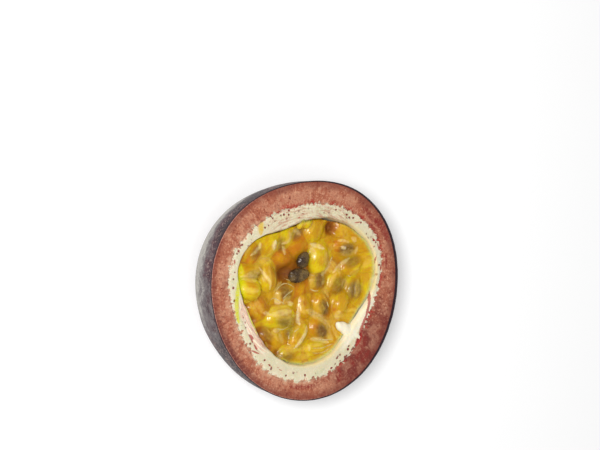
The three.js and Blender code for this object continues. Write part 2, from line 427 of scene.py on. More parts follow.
def makeStudio():
    s = lightSettings
    world = bpy.data.worlds.new("sky")
    world.use_nodes = True
    setInputs(world.node_tree.nodes["Background"], {"Color": (1, 1, 1, 1), "Strength": s["sky"]})
    bpy.context.scene.world = world
    for name in ("key", "fill"):
        makeLamp(name)
    half = s["floorSize"] / 2
    corners = np.array([(-half, -half, 0), (half, -half, 0), (half, half, 0), (-half, half, 0)])
    material, _, shader = newMaterial("floorPaint")
    setInputs(shader, {
        "Base Color": (s["floorShade"],) * 3 + (1,), "Roughness": 0.9, "Specular IOR Level": 0.0,
        "Emission Color": (1, 1, 1, 1), "Emission Strength": s["floorGlow"],
    })
    floor = makeObject("floor", corners + middle, [[0, 1, 2, 3]], [material])
    bpy.context.scene.view_settings.view_transform = "Standard"


# The cut tissue: one finish for the rind's and the pith's cut faces

tissueSettings = {
    "rindLight": colour(210, 156, 124),
    "rind": colour(168, 98, 72),
    "rindShade": colour(122, 54, 44),    # the same flesh on the right and lower right
    "rindDark": colour(112, 44, 36),
    "rindDusk": colour(98, 44, 42),      # next to the skin at the lower left
    "rindRed": colour(166, 36, 30),
    "blush": colour(132, 42, 34),        # redder patches in the rind
    "rindPale": colour(216, 172, 140),   # where it fades into the pith on the left
    "skinLine": colour(42, 24, 32),
    # painted highlight: the cut edge catching the light on the left
    "edgeHighlight": colour(220, 160, 138),
    "pith": colour(214, 203, 170),
    "pithPale": colour(236, 228, 202),
    "pithGreen": colour(200, 196, 158),
    "smooth": colour(240, 232, 206),
    "pithBrown": colour(186, 138, 112),
    "pithPink": colour(218, 180, 158),
    "fold": colour(150, 104, 78),
    "vessel": colour(132, 36, 32),
    "wall": colour(228, 216, 176),
    "stain": colour(206, 204, 44),
    "juice": colour(214, 178, 60),
    "film": colour(234, 208, 130),
}
# Border: how far outside the pith's outline; Rim: how far inside the skin; Wall: 1 down the cavity.
# The others are shares from 0 to 1.
tissueInputs = (
    "Border", "Rim", "Wall", "Stain", "Film", "Drip", "Torn", "Mark", "Shade", "Soft", "Thready",
    "Smooth", "Dusk", "Blush",
)


def makeTissueGroup():
    # Ray: the direction from the middle and the distance from it
    s = tissueSettings
    floats = {name: "Float" for name in tissueInputs}
    group, into, out = newGroup(
        "cutTissue", "ShaderNodeTree", {"Place": "Vector", "Ray": "Vector", **floats},
        {"Color": "Color", "Height": "Float", "Roughness": "Float"},
    )
    place, ray, border, rim, soft = (into[name] for name in ("Place", "Ray", "Border", "Rim", "Soft"))
    fibres = grain(scaleVector(ray, 38, 38, 0.6), 1.0, 3.0, 0.6)
    teeth = grain(scaleVector(ray, 22, 22, 0.25), 1.0, 3.0, 0.65)
    blotch = grain(place, 0.62, 3.0, 0.6)
    fine = grain(place, 1.9, 4.0, 0.7)
    finest = grain(place, 5.0, 2.0, 0.6)
    ragged = border + (teeth - 0.5) * 3.4 + (blotch - 0.5) * 2.8 + (fine - 0.5) * 2.2
    isRind = stepUp(ragged, -0.20, 0.20)

    # rind: pale and dark grains, redder towards the skin and on the right and lower right
    grains = fine * 0.63 + fibres * 0.37
    patches = grain(place, 0.2, 2.0)
    shade = into["Shade"] + (patches - 0.5) * 1.6
    outward = rim + (patches - 0.5) * 4.0
    redBand = stepUp(ragged, 1.9, 0.3) * stepUp(blotch, 0.48, 0.60) * stepUp(soft, 0.9, 0.0, 0.06, 0.8)
    rind = paintOver(
        s["rind"],
        (stepUp(shade, 0.0, 0.9), s["rindShade"]),
        (stepUp(grain(place, 0.34, 2.0), 0.45, 0.60, 0.0, 0.34), s["rindLight"]),
        (stepUp(grains, 0.50, 0.63) * stepUp(into["Shade"], 0.1, 1.0, 0.8, 0.30), s["rindLight"]),
        (stepUp(grains, 0.47, 0.36, 0.0, 0.85), s["rindDark"]),
        (stepUp(outward, 2.6, 0.2, 0.0, 0.65), s["rindDark"]),
        (into["Dusk"] * stepUp(grains, 0.62, 0.42, 0.45, 0.95), s["rindDusk"]),
        (into["Blush"] * stepUp(grains, 0.60, 0.44, 0.3, 0.85), s["blush"]),
        (redBand, s["rindRed"]),
        (stepUp(ragged + (blotch - 0.5) * 4.0, 1.8, -0.6) * soft * 0.6, s["rindPale"]),
        # painted highlight: a pale line where the cut edge catches the light on the left
        (stepUp(rim, 0.36, 0.24) * soft * stepUp(fine, 0.35, 0.6, 0.1, 0.7), s["edgeHighlight"]),
        (stepUp(rim, 0.26, 0.10), s["skinLine"]),
    )

    # pith: cream, with tints, threads and dark red vessels in a ring inside its border
    threads = grain(scaleVector(ray, 7, 7, 2.0), 1.0, 4.0, 0.6)
    strips = grain(scaleVector(ray, 3, 3, 2.6), 1.0, 3.0, 0.6)
    torn = blend(stepUp(strips, 0.46, 0.70), s["pithPink"], s["pithPale"])
    torn = blend(stepUp(strips, 0.46, 0.36, 0.0, 0.8), torn, s["fold"])
    spots = cells(scaleVector(place, 1, 1, 0.2), 0.80)
    which = addNode(group, "ShaderNodeSeparateColor", {0: spots.out("Color")})
    inBand = stepUp(border, -2.9, -1.9) * stepUp(border, 0.7, 0.1) * stepUp(which, 0.24, 0.30)
    isSpot = stepUp(spots + finest * 0.5 - (blotch * 0.62 + 0.16), 0.08, -0.08)
    isSpot = isSpot * inBand * stepUp(into["Smooth"], 0.6, 0.1)
    soaked = stepUp(fine, 0.3, 0.6, 0.5, 1.0)
    pith = paintOver(
        s["pith"],
        (stepUp(grain(place, 0.2, 3.0, 0.6), 0.46, 0.66, 0.0, 0.7), s["pithGreen"]),
        (stepUp(threads, 0.46, 0.60, 0.0, 0.8) * into["Thready"], s["pithBrown"]),
        (into["Torn"], torn),
        (into["Smooth"] * 0.85, s["smooth"]),
        (stepUp(fine, 0.52, 0.70, 0.0, 0.8), s["pithPale"]),
        (stepUp(ragged, -1.2, -0.2, 0.0, 0.35), s["pithPale"]),
        (isSpot, s["vessel"]),
        (into["Wall"] * 0.8, s["wall"]),
        (into["Film"] * stepUp(blotch, 0.3, 0.6, 0.55, 0.9), s["film"]),
        (into["Stain"] * soaked, s["stain"]),
        (into["Drip"] * soaked, s["juice"]),
    )
    isMark = stepUp(into["Mark"] + (fine - 0.5) * 1.6, 0.30, 0.80, 0.0, 0.8)
    setInputs(out, {
        "Color": paintOver(pith, (isRind, rind), (isMark, s["rindRed"])),
        "Height": fine * 0.8 + finest * 0.3 - isSpot * 0.7 - isRind * 0.3,
        "Roughness": grains * 0.3 + 0.36,
    })
    return group


def makeTissueFinish(name, group):
    material, tree, shader = newMaterial(name)
    into = {socket: attribute(tree, socket.lower()) for socket in tissueInputs}
    into.update({"Place": placeInMillimetres(tree), "Ray": attribute(tree, "ray", "Vector")})
    tissue = addNode(tree, "ShaderNodeGroup", into, "Color", node_tree=group)
    setInputs(shader, {
        "Base Color": tissue, "Roughness": tissue.out("Roughness"), "Specular IOR Level": 0.32,
        "Subsurface Weight": 0.2, "Subsurface Radius": (1.0, 0.5, 0.3), "Subsurface Scale": 0.9 * mm,
        "Normal": bump(tissue.out("Height"), 0.16),
    })
    return material


# Stretches of the cavity's rim: the middle's turn and how far it reaches to each side.
# The juice stands high in the one that is full, the pith is torn into strips in another, and
# fades softly into the rind in a third.
rimZones = {
    "torn": (212, 22), "full": (-30, 76), "soft": (205, 80), "thready": (88, 36), "smooth": (-30, 24),
}
cutFaceSettings = {
    "tornWidth": 2.4,
    "smoothWidth": 2.2,              # of the smooth band of pith where the juice stands high
    "shadeAt": (-45, 30),            # where the rind is redder and darker, and how far that reaches
    "duskAt": (220, 24),             # the same for the dark band next to the skin
    "paintDepth": 3.0,               # the paths below are painted down to here
    "waviness": (13.0, 0.22),        # size and height of the knife's waves in the cut face
    "lumps": (2.6, 0.10),
    "grains": (0.8, 0.07),
    "pithRise": 0.14,                # the pith swells a little above the rind
}
# What is painted along paths on the cut face: the places they run through and their width
cutPaths = {
    "stain": [                       # lime yellow juice on the rim at the left
        ([(-20.2, 6.0), (-20.9, 1.1), (-21.4, -3.5), (-21.3, -7.0), (-20.6, -9.6)], 2.0),
        ([(-18.4, -5.2), (-16.7, -8.8), (-14.8, -12.8)], 0.8),
    ],
    "drip": [                        # juice that ran over the pith
        ([(-14.5, 18.4), (-14.4, 16.4), (-14.3, 14.2)], 2.6),
    ],
    "mark": [                        # red lines and dashes in the pith
        ([(23.0, 8.0), (22.4, 3.6), (21.9, -0.2), (21.0, -3.7)], 0.8),
        ([(21.3, -2.4), (20.8, -5.6), (20.2, -8.1), (19.6, -10.2)], 1.3),
        ([(20.1, -8.6), (18.6, -12.2), (17.9, -15.0), (17.0, -17.6)], 1.7),
        ([(20.0, -8.0), (22.8, -8.1)], 0.9),
        ([(18.6, -14.2), (16.7, -17.0)], 2.4),
        ([(15.6, 16.9), (17.6, 17.2)], 0.6),
        ([(-16.9, -16.9), (-15.4, -17.5), (-14.2, -18.0)], 0.8),
        ([(-17.6, -12.6), (-16.5, -13.6), (-16.4, -15.0)], 1.3),
        ([(-15.9, -15.4), (-14.8, -17.0)], 1.0),
        ([(-9.0, -21.4), (-7.6, -22.7), (-6.2, -23.5)], 0.35),
        ([(-11.4, -20.9), (-10.0, -22.2)], 0.4),
        ([(23.3, 11.2), (23.8, 9.2)], 0.7),
        ([(21.4, 12.7), (22.7, 11.6)], 0.6),
        ([(24.4, 5.2), (24.4, 4.0)], 0.6),
        ([(21.8, 10.3), (22.4, 10.3)], 0.6),
        ([(-22.3, 7.7), (-22.4, 6.5)], 0.9),
        ([(-2.9, 18.6), (-2.0, 18.8)], 0.6),
    ],
    "blush": [                       # redder patches in the rind
        ([(20.0, -14.6), (18.6, -18.4), (16.8, -20.9)], 3.2),
        ([(22.6, 18.2), (25.2, 15.0), (26.9, 11.3)], 3.2),
        ([(21.4, -18.7), (18.3, -22.3)], 2.2),
        ([(11.6, -23.5), (11.4, -27.2)], 2.2),
        ([(23.4, 15.6), (20.8, 19.0), (17.6, 21.4)], 2.6),
        ([(20.6, 16.8), (22.4, 14.6), (23.9, 11.6)], 2.0),
        ([(-4.6, -27.4), (-1.0, -27.9), (3.4, -27.5)], 2.0),
        ([(26.2, 8.4), (26.6, 4.0)], 1.3),
        ([(15.1, -20.9), (16.4, -23.0)], 2.2),
    ],
}


def zoneShare(turn, zone):
    at, reach = rimZones[zone]
    return smoothStep(1.25, 0.75, turnAway(turn, at) / reach)


def tornShare(turn, inside):
    width = cutFaceSettings["tornWidth"]
    return zoneShare(turn, "torn") * smoothStep(width, width - 0.7, inside)


def tissueValues(points):
    s = cutFaceSettings
    turn, away = polar(points)
    below = cutHeight - points[:, 2]
    inside = away - outlineRadius("cavity", turn) - lipWidth(turn)
    line = peelSettings["edgeLine"] * (skinEdge(turn) - peelSettings["edgeRound"])
    rim = outlineRadius("skin", turn) - away - line
    smoothBand = zoneShare(turn, "smooth") * smoothStep(s["smoothWidth"], s["smoothWidth"] - 1.0, inside)
    onCut = below < s["paintDepth"]
    painted = {name: sum(pathShare(points, *p) for p in paths) * onCut for name, paths in cutPaths.items()}
    return {
        **painted,
        "border": away - outlineRadius("pith", turn),
        "rim": rim,
        "ray": np.stack([np.cos(turn), np.sin(turn), away], axis=1),
        "wall": smoothStep(0.5, 2.4, below) * (inside < 0.2),
        "film": 0.7 * zoneShare(turn, "full") * smoothStep(0.9, -0.5, inside) * (1 - 0.6 * smoothBand),
        "torn": tornShare(turn, inside),
        "shade": nearTurn(turn, *s["shadeAt"]),
        "soft": zoneShare(turn, "soft"),
        "thready": zoneShare(turn, "thready"),
        "smooth": smoothBand,
        "dusk": nearTurn(turn, *s["duskAt"]) * smoothStep(3.0, 0.2, rim),
    }


def cutRelief(points):
    turn, away = polar(points)
    relief = sum(
        height * noiseAt(points, size, 3.7)
        for size, height in (cutFaceSettings[name] for name in ("waviness", "lumps", "grains"))
    )
    border = away - outlineRadius("pith", turn) + 0.8 * noiseAt(points, 1.1)
    return relief + cutFaceSettings["pithRise"] * smoothStep(0.6, -0.9, border)


# The peel: skin outside, rind flesh at the cut

peelSettings = {
    "turnSteps": 420,
    "cutRings": 17,
    "edgeRound": 0.35,               # how far the cut edge of the skin is rounded
    "edgeMore": (0.75, -5, 62),      # more than that on the right: how much, where and how far
    "edgeBends": (12, 25, 38, 50, 62, 74, 86),
    "edgeLine": 1.7,                 # the skin's dark line widens by this much of the extra rounding
    "skinRings": 84,
    "innerRings": 10,
    "dents": (9.0, 0.16),
    "pores": (1.5, 0.035),
    "scar": {"turn": 200, "dip": 69, "width": 6.4, "depth": 0.9},
    "maroon": colour(72, 28, 40),
    "maroonDark": colour(36, 15, 25),
    "maroonRed": colour(96, 42, 46),
    "speckle": colour(180, 152, 140),
    "bloom": colour(174, 170, 162),
    "bloomAndSheenDark": colour(96, 87, 88),
    # painted shade: dark grey on the lower left of the skin
    "charcoal": colour(32, 27, 30),
    "scarBrown": colour(72, 62, 44),
    # where the waxy bloom and its painted sheen (a rim of reflected light) lie, how far they reach, how
    # thick they are at the cut and lower down, and how much of the height it takes to thicken
    "bloomAndSheenPlaces": [(138, 34, -0.20, 1.1, 0.34), (192, 32, 0.48, 0.80, 0.50)],
    # where the skin is painted dark as shade, and how far that reaches
    "paintedShadeAt": (238, 36),         # where the skin is dark grey, and how far that reaches
    "lipGapAt": (200.54, 28.65),     # where the skin is not darker along the cut
}


def skinPoint(turn, dip):
    bulge = fruit["belly"] * math.sin(math.pi * dip / restDip)
    return layerRing("skin", skinDepth, dip, turn, offset=bulge)


def skinEdge(turn):
    more, at, reach = peelSettings["edgeMore"]
    return peelSettings["edgeRound"] + more * nearTurn(turn, at, reach)


def scarDistance(points):
    # from the middle of the flower's scar, in half widths of it
    scar = peelSettings["scar"]
    at = skinPoint(np.array([math.radians(scar["turn"])]), math.radians(scar["dip"]))
    return np.linalg.norm(points - at, axis=1) / (scar["width"] / 2)


def makeSkinFinish():
    s = peelSettings
    material, tree, shader = newMaterial("skin")
    place = placeInMillimetres(tree)
    lip, charcoal, bloom, scar = (attribute(tree, n) for n in ("lip", "charcoal", "bloom", "scar"))
    patches = grain(place, 0.09, 3.0, 0.55)
    mottle = grain(place, 0.42, 3.0, 0.6)
    fine = grain(place, 1.9, 4.0, 0.7)
    reach = mottle * 0.9 - 0.12
    dotsSmall = stepUp(cells(place, 1.5) - reach, 0.14, -0.10, 0.0, 0.8)
    dotsLarge = stepUp(cells(place, 0.62) - reach * 0.7, 0.10, -0.12, 0.0, 0.6)
    dots = calc("MAXIMUM", dotsSmall, dotsLarge) * stepUp(fine, 0.34, 0.60)
    dots = dots * stepUp(patches, 0.66, 0.44, 0.25, 0.9) * stepUp(lip, 0.9, 0.1)
    # the waxy bloom lies in streaks and flecks, thicker away from the cut; where it is thick it is also
    # painted sheen
    streaks = grain(scaleVector(attribute(tree, "ray", "Vector"), 6, 6, 1.1), 1.0, 4.0, 0.65)
    thickness = bloom + (streaks - 0.5) * 1.1 + (mottle - 0.5) * 1.3 + (fine - 0.5) * 0.7
    # thinner bloom where the skin is painted in shade
    thickness = thickness - charcoal * 0.5
    base = paintOver(
        s["maroon"],
        (stepUp(patches, 0.40, 0.62), s["maroonDark"]),
        (stepUp(mottle, 0.50, 0.70, 0.0, 0.6), s["maroonRed"]),
        # painted shade: the skin darker along the cut, where it lies in shade
        (lip * 0.7, s["maroonDark"]),
        # painted shade: dark grey on the lower left of the skin
        (charcoal * 0.8, s["charcoal"]),
        (dots, s["speckle"]),
        # painted sheen: the pale bloom also stands in for light reflected at the skin's silhouette on the
        # left
        (stepUp(thickness, 0.05, 0.42, 0.0, 0.85), s["bloomAndSheenDark"]),
        (stepUp(thickness, 0.36, 0.95) * stepUp(fine, 0.36, 0.58, 0.5, 1.0), s["bloom"]),
        (scar, s["scarBrown"]),
    )
    setInputs(shader, {
        "Base Color": base, "Roughness": stepUp(fine, 0.3, 0.7, 0.40, 0.60),
        "Specular IOR Level": 0.22, "Normal": bump(dots * 0.4 + fine * 0.7, 0.07),
    })
    return material


def skinRelief(points):
    s = peelSettings
    outward = points - (0, 0, cutHeight * 0.4)
    outward /= np.linalg.norm(outward, axis=1)[:, None]
    push = s["dents"][1] * (noiseAt(points, s["dents"][0]) - 1)
    push += s["pores"][1] * noiseAt(points, s["pores"][0])
    push -= s["scar"]["depth"] * np.exp(-(scarDistance(points) ** 2) * 1.2)
    return outward * (push * smoothStep(0, 3, points[:, 2]))[:, None]


def skinValues(points):
    s = peelSettings
    turn, _ = polar(points)
    depth = 1 - points[:, 2] / cutHeight
    bloom = 0 * depth
    # painted sheen: the bloom is thickest on the left, where the skin shows a rim of reflected light
    for at, reach, high, low, rise in s["bloomAndSheenPlaces"]:
        share = nearTurn(turn, at, reach) * smoothStep(0.85, 0.40, depth)
        bloom += share * (high + (low - high) * smoothStep(0.07, rise, depth))
    return {
        **tissueValues(points),
        "scar": 0.85 * np.exp(-(scarDistance(points) ** 2) * 1.6),
        "bloom": bloom,
        # painted shade along the cut edge of the skin, left out over one stretch
        "lip": smoothStep(0.10, 0.0, depth) * (1 - nearTurn(turn, *s["lipGapAt"])),
        # painted shade on the lower left of the skin, in its upper part
        "charcoal": nearTurn(turn, *s["paintedShadeAt"]) * smoothStep(0.8, 0.3, depth),
    }


def makePeel(skinFinish, cutFinish):
    s = peelSettings
    turn = turnsRound(s["turnSteps"])
    inner = outlineRadius("pith", turn) + fruit["border"]
    outer = outlineRadius("skin", turn)
    edge = skinEdge(turn)
    inside = [
        layerRing("pith", pithDepth, dip, turn, offset=fruit["border"])
        for dip in np.linspace(deepestDip, 0, s["innerRings"], endpoint=False)
    ]
    cut = [
        ringPoints(turn, inner + (outer - edge - inner) * share, cutHeight)
        for share in np.linspace(0, 1, s["cutRings"])
    ]
    for bend in np.radians(s["edgeBends"]):
        radius = outer - edge * (1 - math.sin(bend))
        cut.append(ringPoints(turn, radius, cutHeight - edge * (1 - math.cos(bend))))
    firstDip = edge.max() * 1.1 / skinDepth
    skin = [skinPoint(turn, dip) for dip in np.linspace(firstDip, restDip, s["skinRings"])]
    rest = [skin[-1] * (1, 1, 0), skin[-1] * (0.5, 0.5, 0)]
    for points in cut:
        points[:, 2] += np.minimum(cutRelief(points), 0.4)
    for points in skin:
        points += skinRelief(points)
    skinSlots, cutSlots = [0] * len(skin + rest), [1] * (len(inside + cut) - 1)
    slots = np.repeat([*cutSlots, *skinSlots, cutSlots[0], skinSlots[0]], len(turn))
    points, faces = facesOutward(*ringMesh(inside + cut + skin + rest))
    peel = makeObject("peel_shell", points, faces, [skinFinish, cutFinish], skinValues(points), slots)
    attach(peel, "root")
    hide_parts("peel")


# The pith: its cut face, the rounded lip and the cavity's wall

pithSettings = {
    "turnSteps": 420,
    "faceRings": 18,
    "lipRings": 9,
    "wallRings": 22,
    "outerRings": 10,
    "lip": {"depth": 2.2, "width": 0.6, "wallWidth": 1.2},
    "wallLumps": (3.0, 0.25),
    "fibres": 0.30,                  # height of the torn fibres on the left wall's lip
}


def lipWidth(turn):
    lip = pithSettings["lip"]
    lobes, _, phase = fruit["cavity"]["waves"][2]
    wall = np.maximum(0, -np.cos(lobes * turn - math.radians(phase)))
    return lip["width"] + (lip["wallWidth"] - lip["width"]) * wall


def makePith(cutFinish):
    s = pithSettings
    turn = turnsRound(s["turnSteps"])
    outer = outlineRadius("pith", turn) + fruit["border"]
    cavity = outlineRadius("cavity", turn)
    width, depth = lipWidth(turn), s["lip"]["depth"]
    outside = [
        layerRing("pith", pithDepth, dip, turn, offset=fruit["border"])
        for dip in np.linspace(deepestDip, 0, s["outerRings"], endpoint=False)
    ]
    cut = [
        ringPoints(turn, outer + (cavity + width - outer) * share, cutHeight)
        for share in np.linspace(0, 1, s["faceRings"], endpoint=False)
    ]
    lip = [
        ringPoints(turn, cavity + width * (1 - math.sin(bend)), cutHeight - depth * (1 - math.cos(bend)))
        for bend in np.linspace(0, math.pi / 2, s["lipRings"], endpoint=False)
    ]
    wall = [
        layerRing("cavity", cavityDepth, dip, turn, start=depth)
        for dip in np.linspace(0, deepestDip, s["wallRings"])
    ]
    for points in cut + lip:
        away = np.hypot(points[:, 0], points[:, 1])
        threads = noiseAt(np.stack([turn * 4, away * 1.8, 0 * turn], axis=1), 1.0)
        torn = tornShare(turn, away - cavity - width) * s["fibres"] * (0.2 - 3 * np.abs(threads))
        points[:, 2] += np.clip(cutRelief(points) + torn, -0.8, 0.45)
    for points in lip + wall:
        points += ringPoints(turn, s["wallLumps"][1] * noiseAt(points, s["wallLumps"][0]), 0)
    points, faces = facesOutward(*ringMesh(outside + cut + lip + wall))
    pith = makeObject("pith_wall", points, faces, [cutFinish], tissueValues(points))
    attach(pith, "root")
    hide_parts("pith")
    return pith


# Eggs: sacs, seeds and the knob are grown from them

def makeEggTree():
    # Geometry Nodes: an egg on each point, with its own size, turn and dents
    kinds = {
        "Points": "Geometry", "Taper": "Float", "Dent Size": "Float", "Dent Height": "Float",
        "Pit Height": "Float", "Detail": "Int", "Finish": "Material",
    }
    tree, into, out = newGroup("growEggs", "GeometryNodeTree", kinds, {"Geometry": "Geometry"})
    where = addNode(tree, "GeometryNodeInputPosition")
    x, y, z = splitVector(where)
    slim = 1.0 - into["Taper"] * (x + 0.5)
    ball = addNode(tree, "GeometryNodeMeshIcoSphere", {"Radius": 0.5, "Subdivisions": into["Detail"]})
    shape = addNode(tree, "ShaderNodeCombineXYZ", {0: x, 1: y * slim, 2: z * slim})
    egg = addNode(tree, "GeometryNodeSetPosition", {"Geometry": ball, "Position": shape})
    size, spin = (
        addNode(tree, "GeometryNodeInputNamedAttribute", {"Name": name}, data_type="FLOAT_VECTOR")
        for name in ("size", "spin")
    )
    eggs = addNode(
        tree, "GeometryNodeInstanceOnPoints",
        {"Points": into["Points"], "Instance": egg, "Rotation": spin, "Scale": size},
    )
    eggs = addNode(tree, "GeometryNodeRealizeInstances", {"Geometry": eggs})
    inMillimetres = scaleVector(where, 1 / mm)
    drift = grain(inMillimetres, calc("DIVIDE", 1.0, into["Dent Size"]), 1.0).out("Color")
    dents = vectorCalc("SCALE", vectorCalc("SUBTRACT", drift, (0.5, 0.5, 0.5)), into["Dent Height"] * 2 * mm)
    sink = into["Pit Height"] * mm * cells(inMillimetres, 1.7)
    pits = vectorCalc("SCALE", addNode(tree, "GeometryNodeInputNormal"), sink)
    offset = vectorCalc("ADD", dents, pits)
    eggs = addNode(tree, "GeometryNodeSetPosition", {"Geometry": eggs, "Offset": offset})
    return endTree(tree, eggs, into, out)


def growEggs(name, centres, sizes, spins, finish, shape, extra=None):
    # shape: taper, dent size, dent height and pit height
    thing = makeObject(name, centres, values={"size": sizes * mm, "spin": spins, **(extra or {})})
    inputs = dict(zip(("Taper", "Dent Size", "Dent Height", "Pit Height"), shape))
    return runTree(thing, eggTree, {**inputs, "Detail": 4, "Finish": finish})


def flatSpins(turns):
    return np.stack([0 * turns, 0 * turns, np.radians(turns)], axis=1)


# Knob of white tissue that juts out of the pith, from eggs that are fused: turn, reach, drop and size
knobEggs = np.array([
    (-40.5, 21.8, 1.35, 7.8, 4.8, 3.2),
    (-42.5, 19.2, 1.15, 6.4, 3.4, 2.7),
    (-44.5, 17.2, 1.0, 4.2, 2.3, 2.2),
])
knobSettings = {
    "shape": (0.1, 3.0, 0.2, 0.0),   # taper, dent size, dent height and pit height
    "voxel": 0.14,
    "smoothing": 45,
}


def makeKnob(cutFinish):
    s = knobSettings
    turns, reach, drop = knobEggs.T[:3]
    centres = ringPoints(np.radians(turns), reach, cutHeight - drop)
    eggs = growEggs("knob_eggs", centres, knobEggs[:, 3:], flatSpins(turns), cutFinish, s["shape"])
    points, faces = fuse(eggs, s["voxel"], s["smoothing"])
    values = tissueValues(points)
    for name in ("wall", "film", "mark", "dusk"):
        values[name] *= 0.0
    values["smooth"] = 1.0 + 0 * values["smooth"]
    values["border"] -= 4.0
    knob = makeObject("pith_knob", points, faces, [cutFinish], values)
    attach(knob, "root")


# The pulp

# The sacs that stand out: middle, top below the cut face, length, width, turn of the stalk end,
# and the juice's tone from lemon (0) to amber (1).
mainSacs = [
    (14.5, 10.5, 0.7, 10.4, 8.8, 5, 0.60),
    (5.7, 7.5, 0.4, 9.8, 7.4, 80, 0.12),
    (4.0, 15.0, 0.6, 8.6, 7.2, 60, 0.40),
    (-1.0, 11.0, 1.6, 8.6, 7.0, 30, 0.85),
    (-6.0, 7.5, 1.9, 8.4, 6.0, -15, 0.95),
    (-4.5, 13.5, 1.5, 7.4, 5.4, 70, 0.30),
    (-10.4, 11.2, 1.1, 9.0, 7.0, 40, 0.30),
    (-15.2, 8.2, 1.6, 8.0, 6.0, 55, 0.80),
    (-15.9, 4.0, 0.9, 8.4, 5.2, 5, 0.60),
    (-16.8, -0.6, -0.7, 7.6, 7.0, 170, 0.12),
    (-10.4, 2.6, 0.9, 9.6, 6.0, 95, 0.45),
    (-5.4, -2.2, 1.5, 7.8, 6.8, 45, 0.55),
    (-6.0, -9.0, 0.6, 10.8, 7.8, 185, 0.20),
    (-13.0, -4.5, 1.2, 8.8, 6.4, 120, 0.65),
    (-8.4, -13.6, 1.6, 8.2, 6.4, 130, 0.60),
    (-0.8, -14.0, 0.5, 8.8, 5.8, 60, 0.35),
    (0.6, -1.4, 2.2, 7.6, 5.6, 60, 0.85),
    (6.0, 1.0, 1.5, 7.8, 6.6, 80, 0.65),
    (11.5, 0.5, 0.9, 8.4, 7.2, 60, 0.45),
    (17.5, -1.5, 0.5, 8.4, 7.0, 80, 0.35),
    (17.0, 5.0, 0.8, 9.0, 6.0, 25, 0.35),
    (7.0, -6.0, 1.0, 8.2, 6.2, -65, 0.60),
    (13.0, -5.5, 0.7, 8.4, 7.0, 75, 0.45),
    (6.0, -12.4, 0.8, 8.8, 7.2, -50, 0.50),
    (5.0, -17.8, 0.8, 9.8, 5.6, 5, 0.25),
    (-3.0, -18.8, 0.9, 8.4, 5.8, 10, 0.15),
    (1.2, -6.0, 1.2, 8.0, 6.0, 95, 0.50),
    (-1.0, 17.8, -0.3, 5.2, 2.8, 65, 0.15),
    (0.9, 17.0, -0.1, 3.8, 3.0, 20, 0.20),
]
fillSacs = {
    "seed": 11,
    "tries": 600,
    "spacing": 3.6,
    "margin": 1.8,
    "top": (1.6, 2.6),
    "length": (6.4, 8.0),
    "width": (4.8, 6.0),
    "tone": (0.6, 0.55),             # of these sacs, and of the juice between the sacs
}
# Hollows between the sacs: middle, width, how much deeper the juice lies, and how dark it is painted as
# shade in the hollow
hollows = [
    (-4.8, 3.2, 2.6, 2.2, 0.70),
    (0.4, 4.6, 3.0, 1.4, 0.40),
    (9.6, 15.6, 1.7, 2.4, 0.85),
    (-17.0, -5.4, 1.1, 1.2, 0.15),
    (-15.2, -9.2, 1.2, 1.4, 0.25),
    (-12.9, -12.8, 1.5, 1.5, 0.45),
    (-10.2, -16.0, 1.6, 1.5, 0.5),
    (-7.2, -18.6, 1.3, 1.2, 0.45),
]
pulpSettings = {
    "sacRoundness": 0.80,
    "sacShape": (0.22, 4.2, 0.6, 0.0),   # taper, dent size, dent height and pit height
    "ridges": 0.05,                  # height of the fine threads along a sac
    "recess": 2.6,                   # how far the juice between the sacs lies below the cut face
    "rimRecess": 1.9,
    "fullRecess": 0.08,              # the same at the rim where the cavity is full
    "rise": 7,                       # the power of the distance by which it rises to the rim
    "spread": 0.9,                   # how far the juice spreads over the pith where it stands high
    "inset": 0.4,                    # of the juice's edge from the cavity's
    "thickness": 2.2,
    "lumps": (4.0, 0.25),
    "bedRings": 60,
    "bedDepth": 1.6,                 # how far the dark core lies below the juice
    "coreDrop": (2.4, 6),            # how much deeper its edge lies, and the power of that
    "coreLumps": (5.0, 0.3),
    "coreInset": 0.5,
    "coreRings": (40, 8),            # over its top and down its side
    "coreSide": 0.35,                # where its side starts, in radians
    "gap": 0.12,                     # between the juice and the pith
    "overlap": 2.2,                  # how far a sac may lie over the pith
    "turnSteps": 200,
    "voxel": 0.26,
    "smoothing": 17,
    "filmEdge": (0.2, 0.9, 0.20),    # over the pith the juice sinks from here to here, by this much
    # how clearly the juice shows what lies just under it, and the depth at which that is mostly lost
    "seeThrough": {"seeds": (0.30, 0.9), "core": (0.40, 1.0), "pith": (0.75, 0.45)},
}


def drawFrom(seed):
    state = seed

    def draw():
        nonlocal state
        state = (state * 1664525 + 1013904223) % 4294967296
        return state / 4294967296

    return draw


def between(limits, share):
    return limits[0] + (limits[1] - limits[0]) * share


def placeSacs():
    s = fillSacs
    draw = drawFrom(s["seed"])
    sacs = list(mainSacs)
    for _ in range(s["tries"]):
        turn = 2 * math.pi * draw()
        reach = math.sqrt(draw()) * (outlineRadius("cavity", turn) - s["margin"])
        x, y = reach * math.cos(turn), reach * math.sin(turn)
        top, length, width = (between(s[name], draw()) for name in ("top", "length", "width"))
        sac = (x, y, top, length, width, 360 * draw(), s["tone"][0])
        if all(math.hypot(o[0] - x, o[1] - y) > s["spacing"] for o in sacs + hollows):
            sacs.append(sac)
    return np.array(sacs)


def hollowSum(x, y, column):
    return sum(h[column] * np.exp(-((x - h[0])**2 + (y - h[1])**2) / h[2]**2) for h in hollows)


def juiceHeight(points, share):
    p = pulpSettings
    full = zoneShare(np.arctan2(points[:, 1], points[:, 0]), "full")
    rim = between((p["rimRecess"], p["fullRecess"]), full)
    recess = p["recess"] + (rim - p["recess"]) * share ** p["rise"]
    return cutHeight - recess - hollowSum(points[:, 0], points[:, 1], 3)


